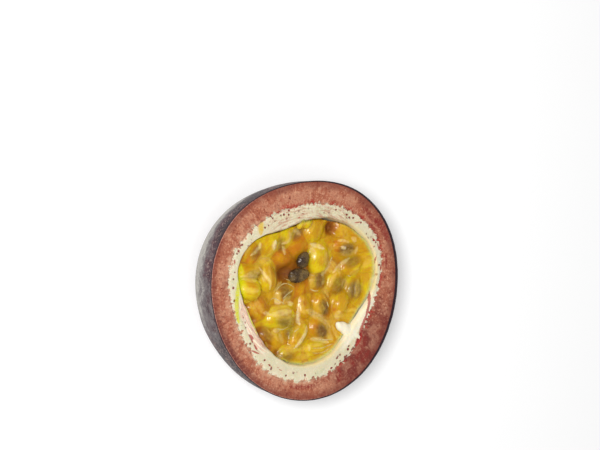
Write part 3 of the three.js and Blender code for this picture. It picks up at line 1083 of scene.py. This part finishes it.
def bedRings():
    # a lens of juice with an uneven top, which spreads over the lip where the cavity is full
    p = pulpSettings
    rows = p["bedRings"]
    turn = turnsRound(p["turnSteps"])
    edge = outlineRadius("cavity", turn) - p["inset"]
    edge += zoneShare(turn, "full") * (lipWidth(turn) + p["spread"])
    rings = []
    for share in [*np.linspace(0.02, 1, rows), 0.97, 0.85, 0.6, 0.3, 0.05]:
        points = ringPoints(turn, edge * share, cutHeight)
        points[:, 2] = juiceHeight(points, share)
        under = p["thickness"] if len(rings) >= rows else 0
        points[:, 2] += p["lumps"][1] * noiseAt(points, p["lumps"][0]) - under
        rings.append(points)
    return rings


def coreRings():
    p = pulpSettings
    turn = turnsRound(p["turnSteps"])
    edge = outlineRadius("cavity", turn) - p["coreInset"]
    (onTop, onSide), (drop, power), (size, height) = p["coreRings"], p["coreDrop"], p["coreLumps"]
    start = pithSettings["lip"]["depth"]
    rings = []
    for share in np.linspace(0.02, 1, onTop):
        points = ringPoints(turn, edge * share, cutHeight)
        points[:, 2] = juiceHeight(points, share) - p["bedDepth"] - drop * share**power
        points[:, 2] += height * noiseAt(points, size)
        rings.append(points)
    for dip in np.linspace(p["coreSide"], deepestDip, onSide):
        rings.append(layerRing("cavity", cavityDepth, dip, turn, offset=-p["coreInset"], start=start))
    return rings


def roomRadius(turn, below):
    # how far out the juice may reach at a depth below the cut face
    lip = pithSettings["lip"]
    cavity = outlineRadius("cavity", turn)
    share = np.clip(below / lip["depth"], 0, 1)
    onLip = cavity + lipWidth(turn) * (1 - np.sqrt(1 - (1 - share) ** 2))
    deep = np.clip((below - lip["depth"]) / (cavityDepth - lip["depth"]), 0, 0.995)
    onWall = cavity * np.sqrt(1 - deep**2)
    over = cavity + pulpSettings["overlap"]
    onLip = onLip + (over - onLip) * zoneShare(turn, "full") * smoothStep(1.1, 0.7, below)
    return np.where(below < 0, over, np.where(below < lip["depth"], onLip, onWall)) - pulpSettings["gap"]


def keepInRoom(points):
    # juice and sacs press against the wall, and stay inside it
    turn, away = polar(points)
    share = np.minimum(1, roomRadius(turn, cutHeight - points[:, 2]) / np.maximum(away, 1e-6))
    return points * np.stack([share, share, np.ones(len(points))], axis=1)


gelSettings = {
    "lemon": colour(211, 184, 10),
    "yellow": colour(198, 150, 6),
    "amber": colour(188, 117, 5),
    # painted shade: browner where the juice lies deep, partly the deeper juice's own amber, and darkest in
    # the hollows
    "deepAndShadedBrown": colour(160, 98, 6),
    "hollowShade": colour(132, 74, 12),
    "veil": colour(222, 187, 54),
    # the skins' white, also used for the painted highlights
    "skin": colour(238, 220, 166),
    "seed": colour(114, 80, 40),
    "seedGrey": colour(144, 114, 68),
    "film": colour(230, 206, 128),
    "lime": colour(212, 208, 18),
    # where the juice at the left wall is lime yellow: the places and how wide
    "limeEdge": ([(-19.0, 6.0), (-19.8, 1.5), (-19.9, -2.5), (-19.4, -5.5)], 4.4),
}


def makeGelFinish():
    s = gelSettings
    material, tree, shader = newMaterial("juiceSacs")
    place = placeInMillimetres(tree)
    along = attribute(tree, "grain", "Vector")
    names = ("tone", "deep", "raised", "lime", "seeds", "skins", "white", "film", "fog")
    tone, deep, raised, lime, seeds, skins, white, film, fog = (attribute(tree, n) for n in names)
    streaks = grain(scaleVector(along, 0.20, 0.85, 0.85), 1.0, 4.0, 0.65)
    folds = grain(scaleVector(along, 0.12, 0.34, 0.34), 1.0, 3.0, 0.5)
    cloud = grain(place, 0.22, 3.0, 0.6)
    fine = grain(place, 1.1, 3.0, 0.6)
    shade = tone + (cloud - 0.5) * 2.0 + (streaks - 0.5) * 1.3
    veils = stepUp(streaks, 0.48, 0.66) * stepUp(folds, 0.48, 0.62) * raised
    veils = veils * stepUp(tone, 0.90, 0.70, 0.2, 1.0) * stepUp(lime, 0.6, 0.1, 0.25, 1.0)
    skinAndHighlightShare = skins * stepUp(fine, 0.32, 0.58, 0.5, 1.0)
    body = paintOver(
        s["lemon"],
        (stepUp(shade, 0.0, 0.45), s["yellow"]),
        (stepUp(shade, 0.45, 1.05), s["amber"]),
        (lime * stepUp(cloud, 0.35, 0.6, 0.5, 0.9), s["lime"]),
        # painted shade where the juice lies deep and in the hollows, partly the deeper juice's own amber
        (stepUp(deep, 0.0, 0.5), s["deepAndShadedBrown"]),
        (stepUp(deep, 0.5, 1.0), s["hollowShade"]),
        (seeds * 0.9, blend(stepUp(fine, 0.40, 0.62), s["seed"], s["seedGrey"])),
        (veils * 0.66, s["veil"]),
        # skins of the sacs, and the painted highlights among them
        (skinAndHighlightShare, blend(white, s["veil"], s["skin"])),
        (film * 0.9, s["film"]),
    )
    setInputs(shader, {
        "Base Color": body, "Alpha": calc("MAXIMUM", fog, skinAndHighlightShare * 0.9), "IOR": 1.36,
        "Roughness": stepUp(streaks, 0.35, 0.65, 0.18, 0.40) + deep * 0.4,
        "Subsurface Weight": 0.85, "Subsurface Radius": (1.0, 0.7, 0.12), "Subsurface Scale": 2.4 * mm,
        "Coat Weight": 0.15, "Coat Roughness": 0.12, "Normal": bump(folds * 1.2 + streaks, 0.12),
    })
    return material


def makeCoreFinish():
    material, tree, shader = newMaterial("juiceBed")
    cloud = grain(placeInMillimetres(tree), 0.3, 3.0)
    body = blend(stepUp(cloud, 0.4, 0.65), colour(140, 80, 10), colour(190, 128, 14))
    setInputs(shader, {"Base Color": body, "Roughness": 0.3, "Normal": bump(cloud, 0.2)})
    return material


# The seeds that show: middle, top below the cut face, length, width, turn and how clearly it shows
mainSeeds = [
    (14.3, 9.6, 1.5, 5.0, 3.6, 0, 0.95),
    (0.9, 6.9, 1.5, 4.6, 4.2, 60, 0.0),
    (-0.3, 2.6, 1.7, 6.6, 4.4, 8, 0.0),
    (-15.4, 3.4, 1.0, 5.0, 2.4, 0, 0.7),
    (-4.9, -2.0, 2.0, 5.0, 3.8, -30, 0.75),
    (-5.6, -9.4, 1.1, 5.6, 4.2, 170, 0.75),
    (5.9, 1.1, 1.9, 4.6, 3.8, 80, 0.85),
    (11.8, -0.2, 1.5, 5.0, 4.0, 60, 0.6),
    (17.0, -1.7, 1.2, 5.2, 4.0, 80, 0.95),
    (16.2, 5.9, 1.5, 5.0, 2.8, 25, 0.6),
    (7.2, -6.5, 1.4, 5.0, 3.2, -65, 0.95),
    (6.4, -12.8, 1.2, 4.6, 3.6, -50, 0.95),
    (-4.5, -19.3, 1.3, 4.6, 3.2, 10, 0.5),
    (-14.2, 9.3, 2.0, 5.2, 2.8, 50, 0.5),
    (-6.4, 11.4, 2.2, 4.6, 2.6, 80, 0.55),
    (-2.6, -12.8, 1.8, 5.0, 3.2, 40, 0.5),
    (-1.7, 14.3, 2.0, 4.8, 3.4, 30, 0.6),
    (-10.2, -13.1, 2.4, 4.6, 3.2, 120, 0.45),
]
seedSettings = {
    "thickness": 2.4,
    "shape": (0.3, 2.0, 0.10, 0.14),     # taper, dent size, dent height and pit height
    "seed": 5,
    "clear": 4.6,
    "drop": 2.0,
    "hidden": 0.25,                  # how clearly the others show
    "bare": (1, 2),                  # these two of the rows above lie bare
    "murk": 1.8,                     # the depth of juice that hides a seed
    "cover": 0.3,                    # the least juice over a seed that isn't bare
}


def makeSeedFinish():
    # veiled: 1 on the seeds that lie in their sacs, under a pale skin
    material, tree, shader = newMaterial("seedCoat")
    place = placeInMillimetres(tree)
    cloud = grain(place, 1.1, 3.0, 0.6)
    fine = grain(place, 3.0, 2.0)
    bare = paintOver(
        colour(56, 38, 20),
        (stepUp(grain(place, 0.34, 2.0), 0.34, 0.70), colour(122, 98, 56)),
        (stepUp(cloud, 0.60, 0.40, 0.0, 0.4), colour(48, 32, 20)),
        # painted glints: small pale flecks on the bare seeds
        (stepUp(fine, 0.62, 0.80, 0.0, 0.3), colour(150, 144, 126)),
    )
    veiled = blend(stepUp(cloud, 0.36, 0.62), colour(112, 80, 36), colour(150, 118, 66))
    setInputs(shader, {
        "Base Color": blend(attribute(tree, "veiled"), bare, veiled),
        "Roughness": stepUp(fine, 0.4, 0.7, 0.18, 0.38),
        "Normal": bump(cloud * 1.5 + cells(place, 1.7), 0.10),
    })
    return material


def placeSeeds(sacs):
    # the seeds that show, and one deeper in each sac that has none yet
    s = seedSettings
    draw = drawFrom(s["seed"])
    rows = list(mainSeeds)
    for x, y, top, _, _, turn, _ in sacs:
        if all(math.hypot(x - r[0], y - r[1]) > s["clear"] for r in rows):
            size = (5.0 + draw(), 3.6 + 0.5 * draw())
            rows.append((x, y, top + s["drop"], *size, turn + 40 * draw(), s["hidden"]))
    return np.array(rows)


def coverSeeds(rows, gel):
    # seeds in their sacs sink until the juice covers them
    s = seedSettings
    for index, (x, y, top, length, width, turn, _) in enumerate(rows):
        if index in s["bare"]:
            continue
        spin = Matrix.Rotation(math.radians(turn), 2)
        short = 0.0
        for share, around in ((0.0, 0), *((0.85, step * math.pi / 4) for step in range(8))):
            shift = spin @ Vector((math.cos(around) * length, math.sin(around) * width)) * share / 2
            hit = gel.ray_cast((x + shift.x, y + shift.y, cutHeight + 5), (0, 0, -1))[0]
            if hit is not None:
                seedTop = cutHeight - top - s["thickness"] / 2 * (1 - math.sqrt(1 - share**2))
                short = max(short, seedTop + s["cover"] - hit.z)
        rows[index, 2] += short
    return rows


def growLying(name, rows, height, spins, finish, shape, extra=None):
    # rows: middle, top below the cut face, length, width
    centres = np.stack([rows[:, 0], rows[:, 1], cutHeight - rows[:, 2] - height / 2], axis=1)
    sizes = np.stack([rows[:, 3], rows[:, 4], height], axis=1)
    return growEggs(name, centres, sizes, spins, finish, shape, extra), centres, sizes


def growSeeds(rows, finish):
    s = seedSettings
    spins = flatSpins(rows[:, 5])
    spins[:, 0] = 0.08 * np.sin(rows[:, 0] * 3)
    spins[:, 1] = 0.08 * np.cos(rows[:, 1] * 3)
    veiled = np.ones(len(rows))
    veiled[list(s["bare"])] = 0.0
    thick = np.full(len(rows), s["thickness"])
    seeds, _, _ = growLying("pulp_seeds", rows, thick, spins, finish, s["shape"], {"veiled": veiled})
    print("seeds:", len(rows), "faces:", len(seeds.data.polygons))
    return seeds


def localPlace(points, x, y, turn):
    # along and across a thing that lies at a place, turned
    angle = math.radians(turn)
    dx, dy = points[:, 0] - x, points[:, 1] - y
    return dx * math.cos(angle) + dy * math.sin(angle), -dx * math.sin(angle) + dy * math.cos(angle)


def seedShadows(points, rows):
    # how strongly a seed shows through the juice over it
    shown = np.zeros(len(points))
    for x, y, top, length, width, turn, clear in rows:
        along, across = localPlace(points, x, y, turn)
        under = np.maximum(0, points[:, 2] - (cutHeight - top))
        share = smoothStep(1.3, 0.5, np.hypot(along / (length / 2), across / (width / 2)))
        shown = np.maximum(shown, clear * share * np.exp(-((under / seedSettings["murk"]) ** 2)))
    return shown


# Pale strands and skins on the sacs, and two painted highlights: the places they run through, their width
# and how white they are
mainStrands = [
    ([(-13.2, 12.2), (-13.4, 10.9), (-14.6, 9.5), (-16.2, 8.5)], 0.8, 0.7),
    # painted highlight: a pale patch where the sac at the upper left catches the light
    ([(-8.6, 12.6), (-8.9, 11.0), (-9.2, 9.8)], 1.7, 1.0),
    ([(-4.0, 14.6), (-3.7, 13.2), (-4.6, 12.0), (-6.4, 11.4)], 0.9, 0.6),
    ([(-3.0, 15.2), (-1.5, 14.6), (-0.3, 13.6)], 1.2, 0.5),
    ([(-6.0, 10.8), (-5.5, 9.6), (-5.2, 8.4)], 0.9, 0.6),
    ([(-19.4, 2.9), (-17.0, 3.1), (-13.8, 2.7)], 1.0, 0.5),
    ([(-13.8, 5.4), (-11.9, 3.2), (-10.6, 1.4), (-10.1, -1.0)], 0.8, 0.7),
    ([(-8.4, -2.0), (-7.0, -0.5), (-5.0, 0.5), (-3.1, 0.1), (-1.6, -1.0)], 0.35, 0.8),
    ([(-6.2, -3.8), (-4.6, -2.5), (-3.1, -1.8), (-2.0, -1.2)], 0.5, 1.0),
    ([(-5.7, -5.0), (-5.4, -3.9), (-4.5, -2.6)], 0.3, 0.8),
    ([(-9.8, -4.2), (-8.6, -3.3), (-6.4, -4.3), (-4.8, -5.4)], 0.35, 0.9),
    ([(-7.8, -11.5), (-5.7, -12.0), (-3.9, -11.1)], 0.45, 1.0),
    ([(3.4, -14.7), (7.6, -15.4), (10.7, -15.2)], 0.4, 0.9),
    ([(-4.9, 2.1), (-2.3, 1.1), (0.4, 1.6)], 0.3, 0.7),
    ([(-8.2, -3.8), (-7.3, -4.4), (-6.3, -4.7)], 1.3, 0.7),
    ([(-4.2, -4.6), (-3.2, -5.0), (-2.2, -5.1)], 1.1, 0.7),
    ([(-10.0, -7.9), (-6.4, -7.3), (-3.3, -6.9)], 1.7, 0.6),
    ([(-1.1, -7.0), (-0.8, -9.2), (-0.5, -11.0)], 1.3, 1.0),
    ([(1.8, -11.2), (1.3, -13.0), (-0.1, -15.0), (-2.5, -17.4)], 1.5, 0.9),
    ([(2.3, -16.4), (2.4, -18.2)], 0.8, 0.7),
    ([(-1.0, -11.6), (-2.6, -12.8)], 0.4, 0.8),
    ([(-8.8, -12.2), (-6.5, -12.2)], 1.3, 0.5),
    ([(-12.2, -7.0), (-10.8, -7.4), (-9.3, -7.9)], 1.0, 0.6),
    ([(2.9, -1.2), (4.5, -1.8), (5.8, -1.7)], 0.4, 1.0),
    ([(8.0, -4.6), (8.3, -5.5), (8.7, -6.4)], 0.6, 1.0),
    ([(1.2, -6.8), (4.1, -8.0), (6.7, -9.5), (9.8, -12.2)], 1.8, 0.5),
    ([(11.8, -7.4), (11.8, -10.0)], 1.7, 0.5),
    ([(3.2, -15.0), (6.2, -15.3), (8.9, -16.2)], 1.2, 0.6),
    ([(2.8, -17.4), (6.8, -17.4), (10.5, -16.8)], 0.5, 0.7),
    ([(2.6, -18.7), (6.5, -18.8), (10.0, -18.0)], 0.5, 0.6),
    ([(2.6, 11.2), (4.7, 10.6), (6.9, 9.9)], 1.2, 0.8),
    ([(3.2, 10.8), (3.4, 9.0), (3.6, 6.8)], 1.2, 0.6),
    ([(15.8, 12.8), (17.3, 11.6)], 1.3, 0.6),
    ([(11.4, 11.9), (13.0, 12.0), (14.8, 11.4)], 0.8, 0.6),
    # painted highlight on the seed's sac at the upper right
    ([(12.2, 10.3), (13.9, 9.7)], 0.9, 1.0),
    ([(15.6, 7.1), (13.6, 5.8), (11.5, 4.3), (10.0, 2.9)], 0.9, 0.7),
    ([(9.6, 6.2), (8.1, 4.3), (6.3, 2.3)], 1.6, 0.6),
    ([(10.2, 7.8), (9.4, 5.9)], 0.6, 0.6),
    ([(17.8, 10.3), (17.3, 8.1)], 0.9, 0.5),
    ([(14.7, 2.3), (16.1, 1.8)], 0.6, 0.8),
]
strandSettings = {
    "seed": 23,
    "perSac": 2,
    "plain": 0.82,                   # sacs of this tone and darker have none of them
    "width": (0.9, 2.2),
    "white": (0.0, 0.35),
    "thin": 0.62,                    # up to this width a strand is a thread, and wider ones are skins
    "rise": 0.10,                    # how far a skin stands out of the juice
    "step": 0.35,                    # between the rings of a strand
    "thickness": 0.16,
    "lift": 0.03,
    "sides": 8,
    "margin": 0.8,                   # how far a thread stays inside the cavity
    "cream": colour(236, 216, 148),
    "yellow": colour(224, 192, 86),
    "spread": 1.6,                   # a skin is this much wider than it looks, with soft sides
}


def makeStrandTree():
    # Geometry Nodes: a flat thread along each path, laid on the surface below it
    kinds = {
        "Paths": "Geometry", "Surface": "Object", "Step": "Float", "Thickness": "Float",
        "Lift": "Float", "Sides": "Int", "Finish": "Material",
    }
    tree, into, out = newGroup("layStrands", "GeometryNodeTree", kinds, {"Geometry": "Geometry"})

    def make(kind, inputs=None, output=0, **settings):
        return addNode(tree, "GeometryNode" + kind, inputs, output, **settings)

    def store(geometry, name, value):
        return make("StoreNamedAttribute", {"Geometry": geometry, "Name": name, "Value": value})

    curve = make("MeshToCurve", {"Mesh": into["Paths"]})
    curve = make("CurveSplineType", {"Curve": curve}, spline_type="CATMULL_ROM")
    curve = make("ResampleCurve", {"Curve": curve, "Length": into["Step"]}, mode="LENGTH")
    curve = make("SetCurveNormal", {"Curve": curve}, mode="Z_UP")
    along = make("SplineParameter", output="Factor")
    fromEnds = along * (1.0 - along) * 4.0
    taper = calc("MAXIMUM", calc("POWER", fromEnds, 0.5), 0.12)
    reach = make("InputNamedAttribute", {"Name": "width"}) * (0.5 * mm) * taper
    curve = store(store(curve, "reach", reach), "ends", fromEnds)
    x, y, z = splitVector(make("InputPosition"))
    ring = make("CurvePrimitiveCircle", {"Resolution": into["Sides"], "Radius": 1.0})
    ring = store(ring, "across", x)
    known = make("InputNamedAttribute", {"Name": "reach"})
    sweep = {"Curve": curve, "Profile Curve": ring, "Scale": known, "Fill Caps": True}
    thread = make("CurveToMesh", sweep)

    above = addNode(tree, "ShaderNodeCombineXYZ", {0: x, 1: y, 2: 0.2})
    target = make("ObjectInfo", {"Object": into["Surface"]}, "Geometry", transform_space="RELATIVE")
    down = {"Source Position": above, "Ray Direction": (0, 0, -1), "Ray Length": 1.0}
    ground = splitVector(make("Raycast", {"Target Geometry": target, **down}, "Hit Position"))[2]
    height = ground + into["Lift"] + calc("DIVIDE", z, known) * into["Thickness"]
    laid = addNode(tree, "ShaderNodeCombineXYZ", {0: x, 1: y, 2: height})
    thread = make("SetPosition", {"Geometry": thread, "Position": laid})
    return endTree(tree, make("RealizeInstances", {"Geometry": thread}), into, out)


def makeStrandFinish():
    s = strandSettings
    material, tree, shader = newMaterial("sacSkins")
    cloud = grain(placeInMillimetres(tree), 0.9, 3.0, 0.6)
    white, across, ends = (attribute(tree, name) for name in ("white", "across", "ends"))
    soft = stepUp(across * across, 1.0, 0.0) * stepUp(ends, 0.05, 0.6)
    setInputs(shader, {
        "Base Color": blend(stepUp(white + (cloud - 0.5), 0.3, 0.9), s["yellow"], s["cream"]),
        "Alpha": soft * (white * 0.6 + 0.15) * stepUp(cloud, 0.30, 0.55, 0.5, 1.0),
        "Roughness": 0.25, "Subsurface Weight": 0.3, "Subsurface Radius": (1.0, 0.8, 0.4),
        "Subsurface Scale": 1.0 * mm, "Normal": bump(cloud, 0.1),
    })
    return material


def strandPaths(sacs):
    # the strands that show one by one, and a few along each sac, like the ribs of a melon
    s = strandSettings
    draw = drawFrom(s["seed"])
    paths = list(mainStrands)
    for x, y, _, length, width, turn, tone in sacs:
        cosine, sine = math.cos(math.radians(turn)), math.sin(math.radians(turn))
        for _ in range(s["perSac"] if tone < s["plain"] else 0):
            offset, reach, bend = (draw() - 0.5) * width * 0.9, 0.4 + 0.4 * draw(), 0.8 * (draw() - 0.5)
            start = (draw() - 0.5) * (1 - reach) * 0.6
            route = []
            for share in np.linspace(-1, 1, 5):
                along = (start + share * reach / 1.2) * length * 0.5
                across = offset * math.sqrt(max(0, 1 - (along / length * 2)**2)) + bend * share**2
                route.append((x + along * cosine - across * sine, y + along * sine + across * cosine))
            paths.append((route, *(between(s[name], draw()**1.5) for name in ("width", "white"))))
    return paths


def skinAndHighlightShares(points, paths):
    # how thick the skins of the sacs and the painted highlights are at each point, and how white
    thick, whiteness = np.zeros(len(points)), np.zeros(len(points))
    for route, width, white in paths:
        share = pathShare(points, route, width * strandSettings["spread"]) * (0.35 + 0.50 * white)
        thicker = share > thick
        thick[thicker], whiteness[thicker] = share[thicker], white
    return thick, whiteness


def makeStrands(paths, surface):
    s = strandSettings
    points, edges, values = [], [], {"width": [], "white": []}
    for route, width, white in paths:
        edges += [(len(points) + i, len(points) + i + 1) for i in range(len(route) - 1)]
        for x, y in route:
            room = outlineRadius("cavity", math.atan2(y, x)) - s["margin"]
            fit = min(1, room / math.hypot(x, y))
            points.append((x * fit, y * fit, 0.0))
        values["width"] += [width] * len(route)
        values["white"] += [white] * len(route)
    values = {name: np.array(data) for name, data in values.items()}
    strands = makeObject("pulp_strands", np.array(points), values=values, edges=edges)
    inputs = {
        "Surface": surface, "Step": s["step"] * mm, "Thickness": s["thickness"] * mm,
        "Lift": s["lift"] * mm, "Sides": s["sides"], "Finish": makeStrandFinish(),
    }
    runTree(strands, makeStrandTree(), inputs)
    print("strand faces:", len(strands.data.polygons))
    return strands


def nearestSac(points, sacs, centres, sizes):
    # each point takes its tone and grain from the sac that it lies on
    best = np.full(len(points), np.inf)
    tone = np.full(len(points), fillSacs["tone"][1])
    local = np.zeros((len(points), 3))
    for index, row in enumerate(sacs):
        along, across = localPlace(points, row[0], row[1], row[5])
        own = np.stack([along, across, points[:, 2] - centres[index, 2]], axis=1)
        reach = ((own / sizes[index]) ** 2).sum(axis=1)
        nearer = reach < best
        best[nearer] = reach[nearer]
        tone[nearer] = row[6]
        local[nearer] = own[nearer] + index * 17.3
    return tone, local, smoothStep(0.40, 0.26, best)


def fuseSacs(sacs, finish):
    # the sacs and the juice between them become one wet skin
    p = pulpSettings
    height = sacs[:, 4] * p["sacRoundness"]
    eggs, centres, sizes = growLying("sac_eggs", sacs, height, flatSpins(sacs[:, 5]), finish, p["sacShape"])
    eggPoints, eggFaces = takeApart(eggs)
    bedPoints, bedFaces = ringMesh(bedRings())
    bedFaces = [[i + len(eggPoints) for i in face] for face in bedFaces]
    gel = makeObject("gel_parts", np.concatenate([eggPoints, bedPoints]), eggFaces + bedFaces)
    points, faces = fuse(gel, p["voxel"], p["smoothing"])
    return points, faces, *nearestSac(points, sacs, centres, sizes)


def shownThrough(points, things, full):
    # how much the juice shows of what lies under it, and how thinly it covers the pith
    shown = np.zeros(len(points))
    for name, (clear, reach) in pulpSettings["seeThrough"].items():
        tree = BVHTree.FromPolygons(pointsOf(things[name]).tolist(), facesOf(things[name]))
        depth = np.array([tree.find_nearest(point)[3] for point in points.tolist()])
        share = np.exp(-((depth / reach) ** 2))
        if name == "pith":
            film = share * full
            share = share * (1 - full)
        shown = np.maximum(shown, clear * share)
    return shown, film


def makePulp(pith):
    p = pulpSettings
    gelFinish = makeGelFinish()
    sacs = placeSacs()
    points, faces, tone, local, raised = fuseSacs(sacs, gelFinish)
    threads = noiseAt(local * (0.22, 1.0, 1.0), 1.0)
    points[:, 2] += p["ridges"] * raised * (1 - 3 * np.abs(threads))
    paths = strandPaths(sacs)
    thin = strandSettings["thin"]
    # the skins, with the painted highlights among them, are painted onto the juice
    skins, white = skinAndHighlightShares(points, [path for path in paths if path[1] > thin])
    points[:, 2] += strandSettings["rise"] * skins
    points = keepInRoom(points)
    turn, away = polar(points)
    full = zoneShare(turn, "full")
    first, last, sink = p["filmEdge"]
    onPith = away - outlineRadius("cavity", turn)
    points[:, 2] -= sink * full * smoothStep(first * lipWidth(turn), lipWidth(turn) + last, onPith)

    seedRows = coverSeeds(placeSeeds(sacs), BVHTree.FromPolygons(points.tolist(), faces))
    seeds = growSeeds(seedRows, makeSeedFinish())
    core = makeObject("pulp_core", *facesOutward(*ringMesh(coreRings())), [makeCoreFinish()])
    shown, film = shownThrough(points, {"seeds": seeds, "core": core, "pith": pith}, full)
    below = cutHeight - points[:, 2]
    # painted shade: darker deeper down between the sacs, partly the deeper juice's own amber, and painted
    # dark in the hollows
    deep = 0.4 * smoothStep(1.8, 4.6, below + 0.8 * (1 - raised))
    deep = deep + hollowSum(points[:, 0], points[:, 1], 4) * smoothStep(0.8, 3.0, below)
    values = {
        "tone": tone, "grain": local, "fog": 1 - shown, "raised": raised, "deep": np.clip(deep, 0, 1),
        "seeds": seedShadows(points, seedRows), "skins": skins, "white": white, "film": film,
        "lime": pathShare(points, *gelSettings["limeEdge"]),
    }
    gel = makeObject("pulp_sacs", points, faces, [gelFinish], values)
    print("gel faces:", len(faces))
    strands = makeStrands([path for path in paths if path[1] <= thin], gel)
    for thing in (gel, core, seeds, strands):
        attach(thing, "root")
    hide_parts("pulp")


# Put it together

makeCamera()
makeStudio()
print("camera and studio made; denoising:", bpy.context.scene.cycles.use_denoising)
tissue = makeTissueGroup()
eggTree = makeEggTree()
makePeel(makeSkinFinish(), makeTissueFinish("rindCut", tissue))
print("peel made")
pithFinish = makeTissueFinish("pithCut", tissue)
pith = makePith(pithFinish)
makeKnob(pithFinish)
print("pith made")
makePulp(pith)
print("pulp made")
